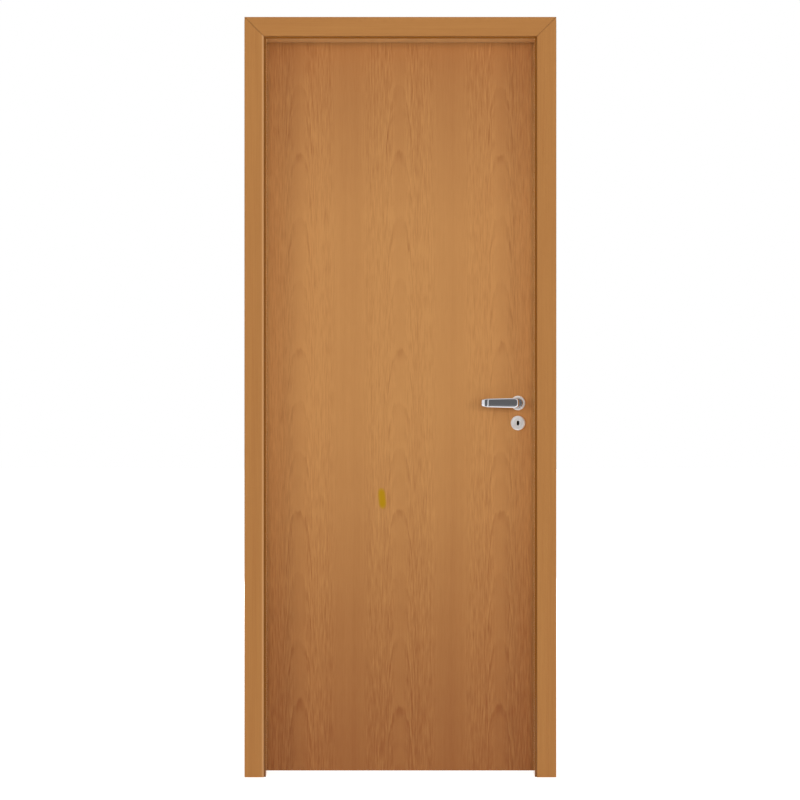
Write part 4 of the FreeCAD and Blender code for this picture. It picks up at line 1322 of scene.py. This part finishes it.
@dataclass
class Studio:
    """Floor, soft light and camera."""

    camera_place: Triple = (0.4154, -9.08, 1.0696)
    lens: float = 142.9
    floor_half: float = 40.0
    floor_share: float = 0.8
    floor_glow: float = 0.8
    flag_share: float = 0.85
    oval_edge: Pair = (0.81, 0.9)
    oval_rise: float = 0.5
    low_edge: Pair = (0.5, 0.68)
    left_edge: Pair = (-0.2, 0.0)
    beside_start: Pair = (0.26, 0.34)
    beside_end: Pair = (0.8, 0.87)
    handle_height: float = 1.06
    daylight: float = 0.48
    lamp_aim: Triple = (0.4, 0.0, 1.1)
    lamp_offset: Triple = (0.3, 9.7, 1.4)
    lamp_power: float = 220.0
    wing_offset: Triple = (7.2, 8.2, 1.0)
    wing_powers: Pair = (205.0, 160.0)
    lamp_size: float = 3.0

    def build(self) -> None:
        """Set up the whole studio."""
        self.floor()
        self.sky()
        for side in Side:
            self.lamp(f"{side.word}_lamp", side, self.lamp_offset, self.lamp_power)
            for name, turn, power in zip(("left", "right"), (-1.0, 1.0), self.wing_powers):
                offset = (self.wing_offset[0] * turn, *self.wing_offset[1:])
                self.lamp(f"{side.word}_{name}_wing", side, offset, power)
        self.camera()
        bpy.context.scene.view_settings.view_transform = "Standard"

    def ray(self, bench: Bench, kind: str) -> Signal:
        """1 for rays of one kind: Camera, Glossy or Transmission."""
        return bench.add("ShaderNodeLightPath", out=f"Is {kind} Ray")

    def seen_directly(self, bench: Bench) -> Signal:
        """1 for the camera's own rays and for those that a gloss or glass sends on."""
        seen = self.ray(bench, "Camera") + self.ray(bench, "Glossy") + self.ray(bench, "Transmission")
        return seen.at_most(1.0)

    def floor(self) -> None:
        """A wide pale floor that shows white, with the flags carried on over it for gloss."""
        half = self.floor_half
        corners = [(-half, -half, 0.0), (half, -half, 0.0), (half, half, 0.0), (-half, half, 0.0)]
        mesh = bpy.data.meshes.new("floor")
        mesh.from_pydata(corners, [], [(0, 1, 2, 3)])
        floor = put("floor", mesh)
        material = bpy.data.materials.new("floor_pale")
        material.use_nodes = True
        bench = Bench(material.node_tree)
        over, ahead, _ = bench.axes(bench.place())
        distance = (over * over + ahead * ahead + self.handle_height**2) ** 0.5
        flag = self.flags(over / distance, ahead / distance, self.handle_height / distance)
        dimmed = 1.0 - self.ray(bench, "Glossy") * flag
        black, pale = (0.0, 0.0, 0.0, 1.0), (self.floor_share, self.floor_share, self.floor_share, 1.0)
        matt = bench.add("ShaderNodeBsdfDiffuse", sockets={"Color": bench.mix(dimmed, black, pale)})
        shine = self.seen_directly(bench) * dimmed * self.floor_glow
        glow = bench.add("ShaderNodeEmission", sockets={"Strength": shine})
        both = bench.add("ShaderNodeAddShader", sockets={0: matt, 1: glow})
        bench.add("ShaderNodeOutputMaterial", sockets={"Surface": both})
        mesh.materials.append(material)

    def flags(self, over: Signal, ahead: Signal, up: Signal) -> Signal:
        """How dark the tent is that polished metal mirrors, from 0 to 1, in a direction.

        As in a photographer's tent there is an upright oval flag ahead and one behind, and a low
        one on the left, with a bright strip left between them.

        Args:
            over: The direction's X.
            ahead: Its Y.
            up: Its Z.

        Returns:
            The dark, up to the flags' share.
        """
        low = (1.0 - abs(up).climb(*self.low_edge)) * (1.0 - over.climb(*self.left_edge))
        nearer = ahead * -1.0
        beside = nearer.climb(*self.beside_start) * (1.0 - nearer.climb(*self.beside_end)) * low
        oval = ahead * ahead + up * up * self.oval_rise
        return (oval.climb(*self.oval_edge) + beside) * self.flag_share

    def sky(self) -> None:
        """Even light from all round, white where it is seen directly, with dark flags for gloss."""
        world = bpy.data.worlds.new("studio")
        world.use_nodes = True
        bpy.context.scene.world = world
        bench = Bench(world.node_tree)
        direction = bench.add("ShaderNodeTexCoord", out="Generated")
        flag = self.flags(*bench.axes(direction))
        seen = self.seen_directly(bench)
        strength = seen * (1.0 - self.ray(bench, "Glossy") * flag) + (1.0 - seen) * self.daylight
        white = (1.0, 1.0, 1.0, 1.0)
        light = bench.add("ShaderNodeBackground", sockets={"Color": white, "Strength": strength})
        bench.add("ShaderNodeOutputWorld", sockets={"Surface": light})

    def lamp(self, name: str, side: Side, offset: Triple, power: float) -> None:
        """A large soft lamp that gloss doesn't mirror.

        Args:
            name: The lamp's name.
            side: The face that it lights.
            offset: Its place from the door's middle, with Y outwards from the face.
            power: Its power in watts.
        """
        light = bpy.data.lights.new(name, "AREA")
        light.shape = "SQUARE"
        light.size = self.lamp_size
        light.energy = power
        lamp = put(name, light)
        away = np.array(offset) * (1.0, side.value, 1.0)
        lamp.location = np.array(self.lamp_aim) + away
        tilt = math.atan2(math.hypot(away[0], away[1]), away[2])
        lamp.rotation_euler = (tilt, 0.0, math.atan2(away[0], -away[1]))
        lamp.visible_camera = False
        lamp.visible_glossy = False

    def camera(self) -> None:
        """The photograph's long lens, level and square to the door."""
        data = bpy.data.cameras.new("camera")
        data.lens = self.lens
        data.clip_end = 200.0
        camera = put("camera", data)
        camera.location = self.camera_place
        camera.rotation_euler = (math.pi / 2, 0.0, 0.0)
        bpy.context.scene.camera = camera


def clear_start() -> None:
    """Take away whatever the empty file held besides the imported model."""
    kept = set(frame["nodes"].values()) | set(frame["bodies"].values())
    for thing in [o for o in bpy.data.objects if o not in kept]:
        bpy.data.objects.remove(thing)


def main() -> None:
    """Build and dress every sub-assembly in order."""
    logging.basicConfig(level=logging.INFO, format="%(name)s: %(message)s")
    clear_start()
    Studio().build()
    Casings().dress()
    Lining().dress()
    Leaf().dress()
    hinges = Hinges()
    hinges.dress()
    hinges.build()
    lock = Lock()
    lock.dress()
    lock.build()
    Furniture().build()


if __name__ == "__main__":
    main()
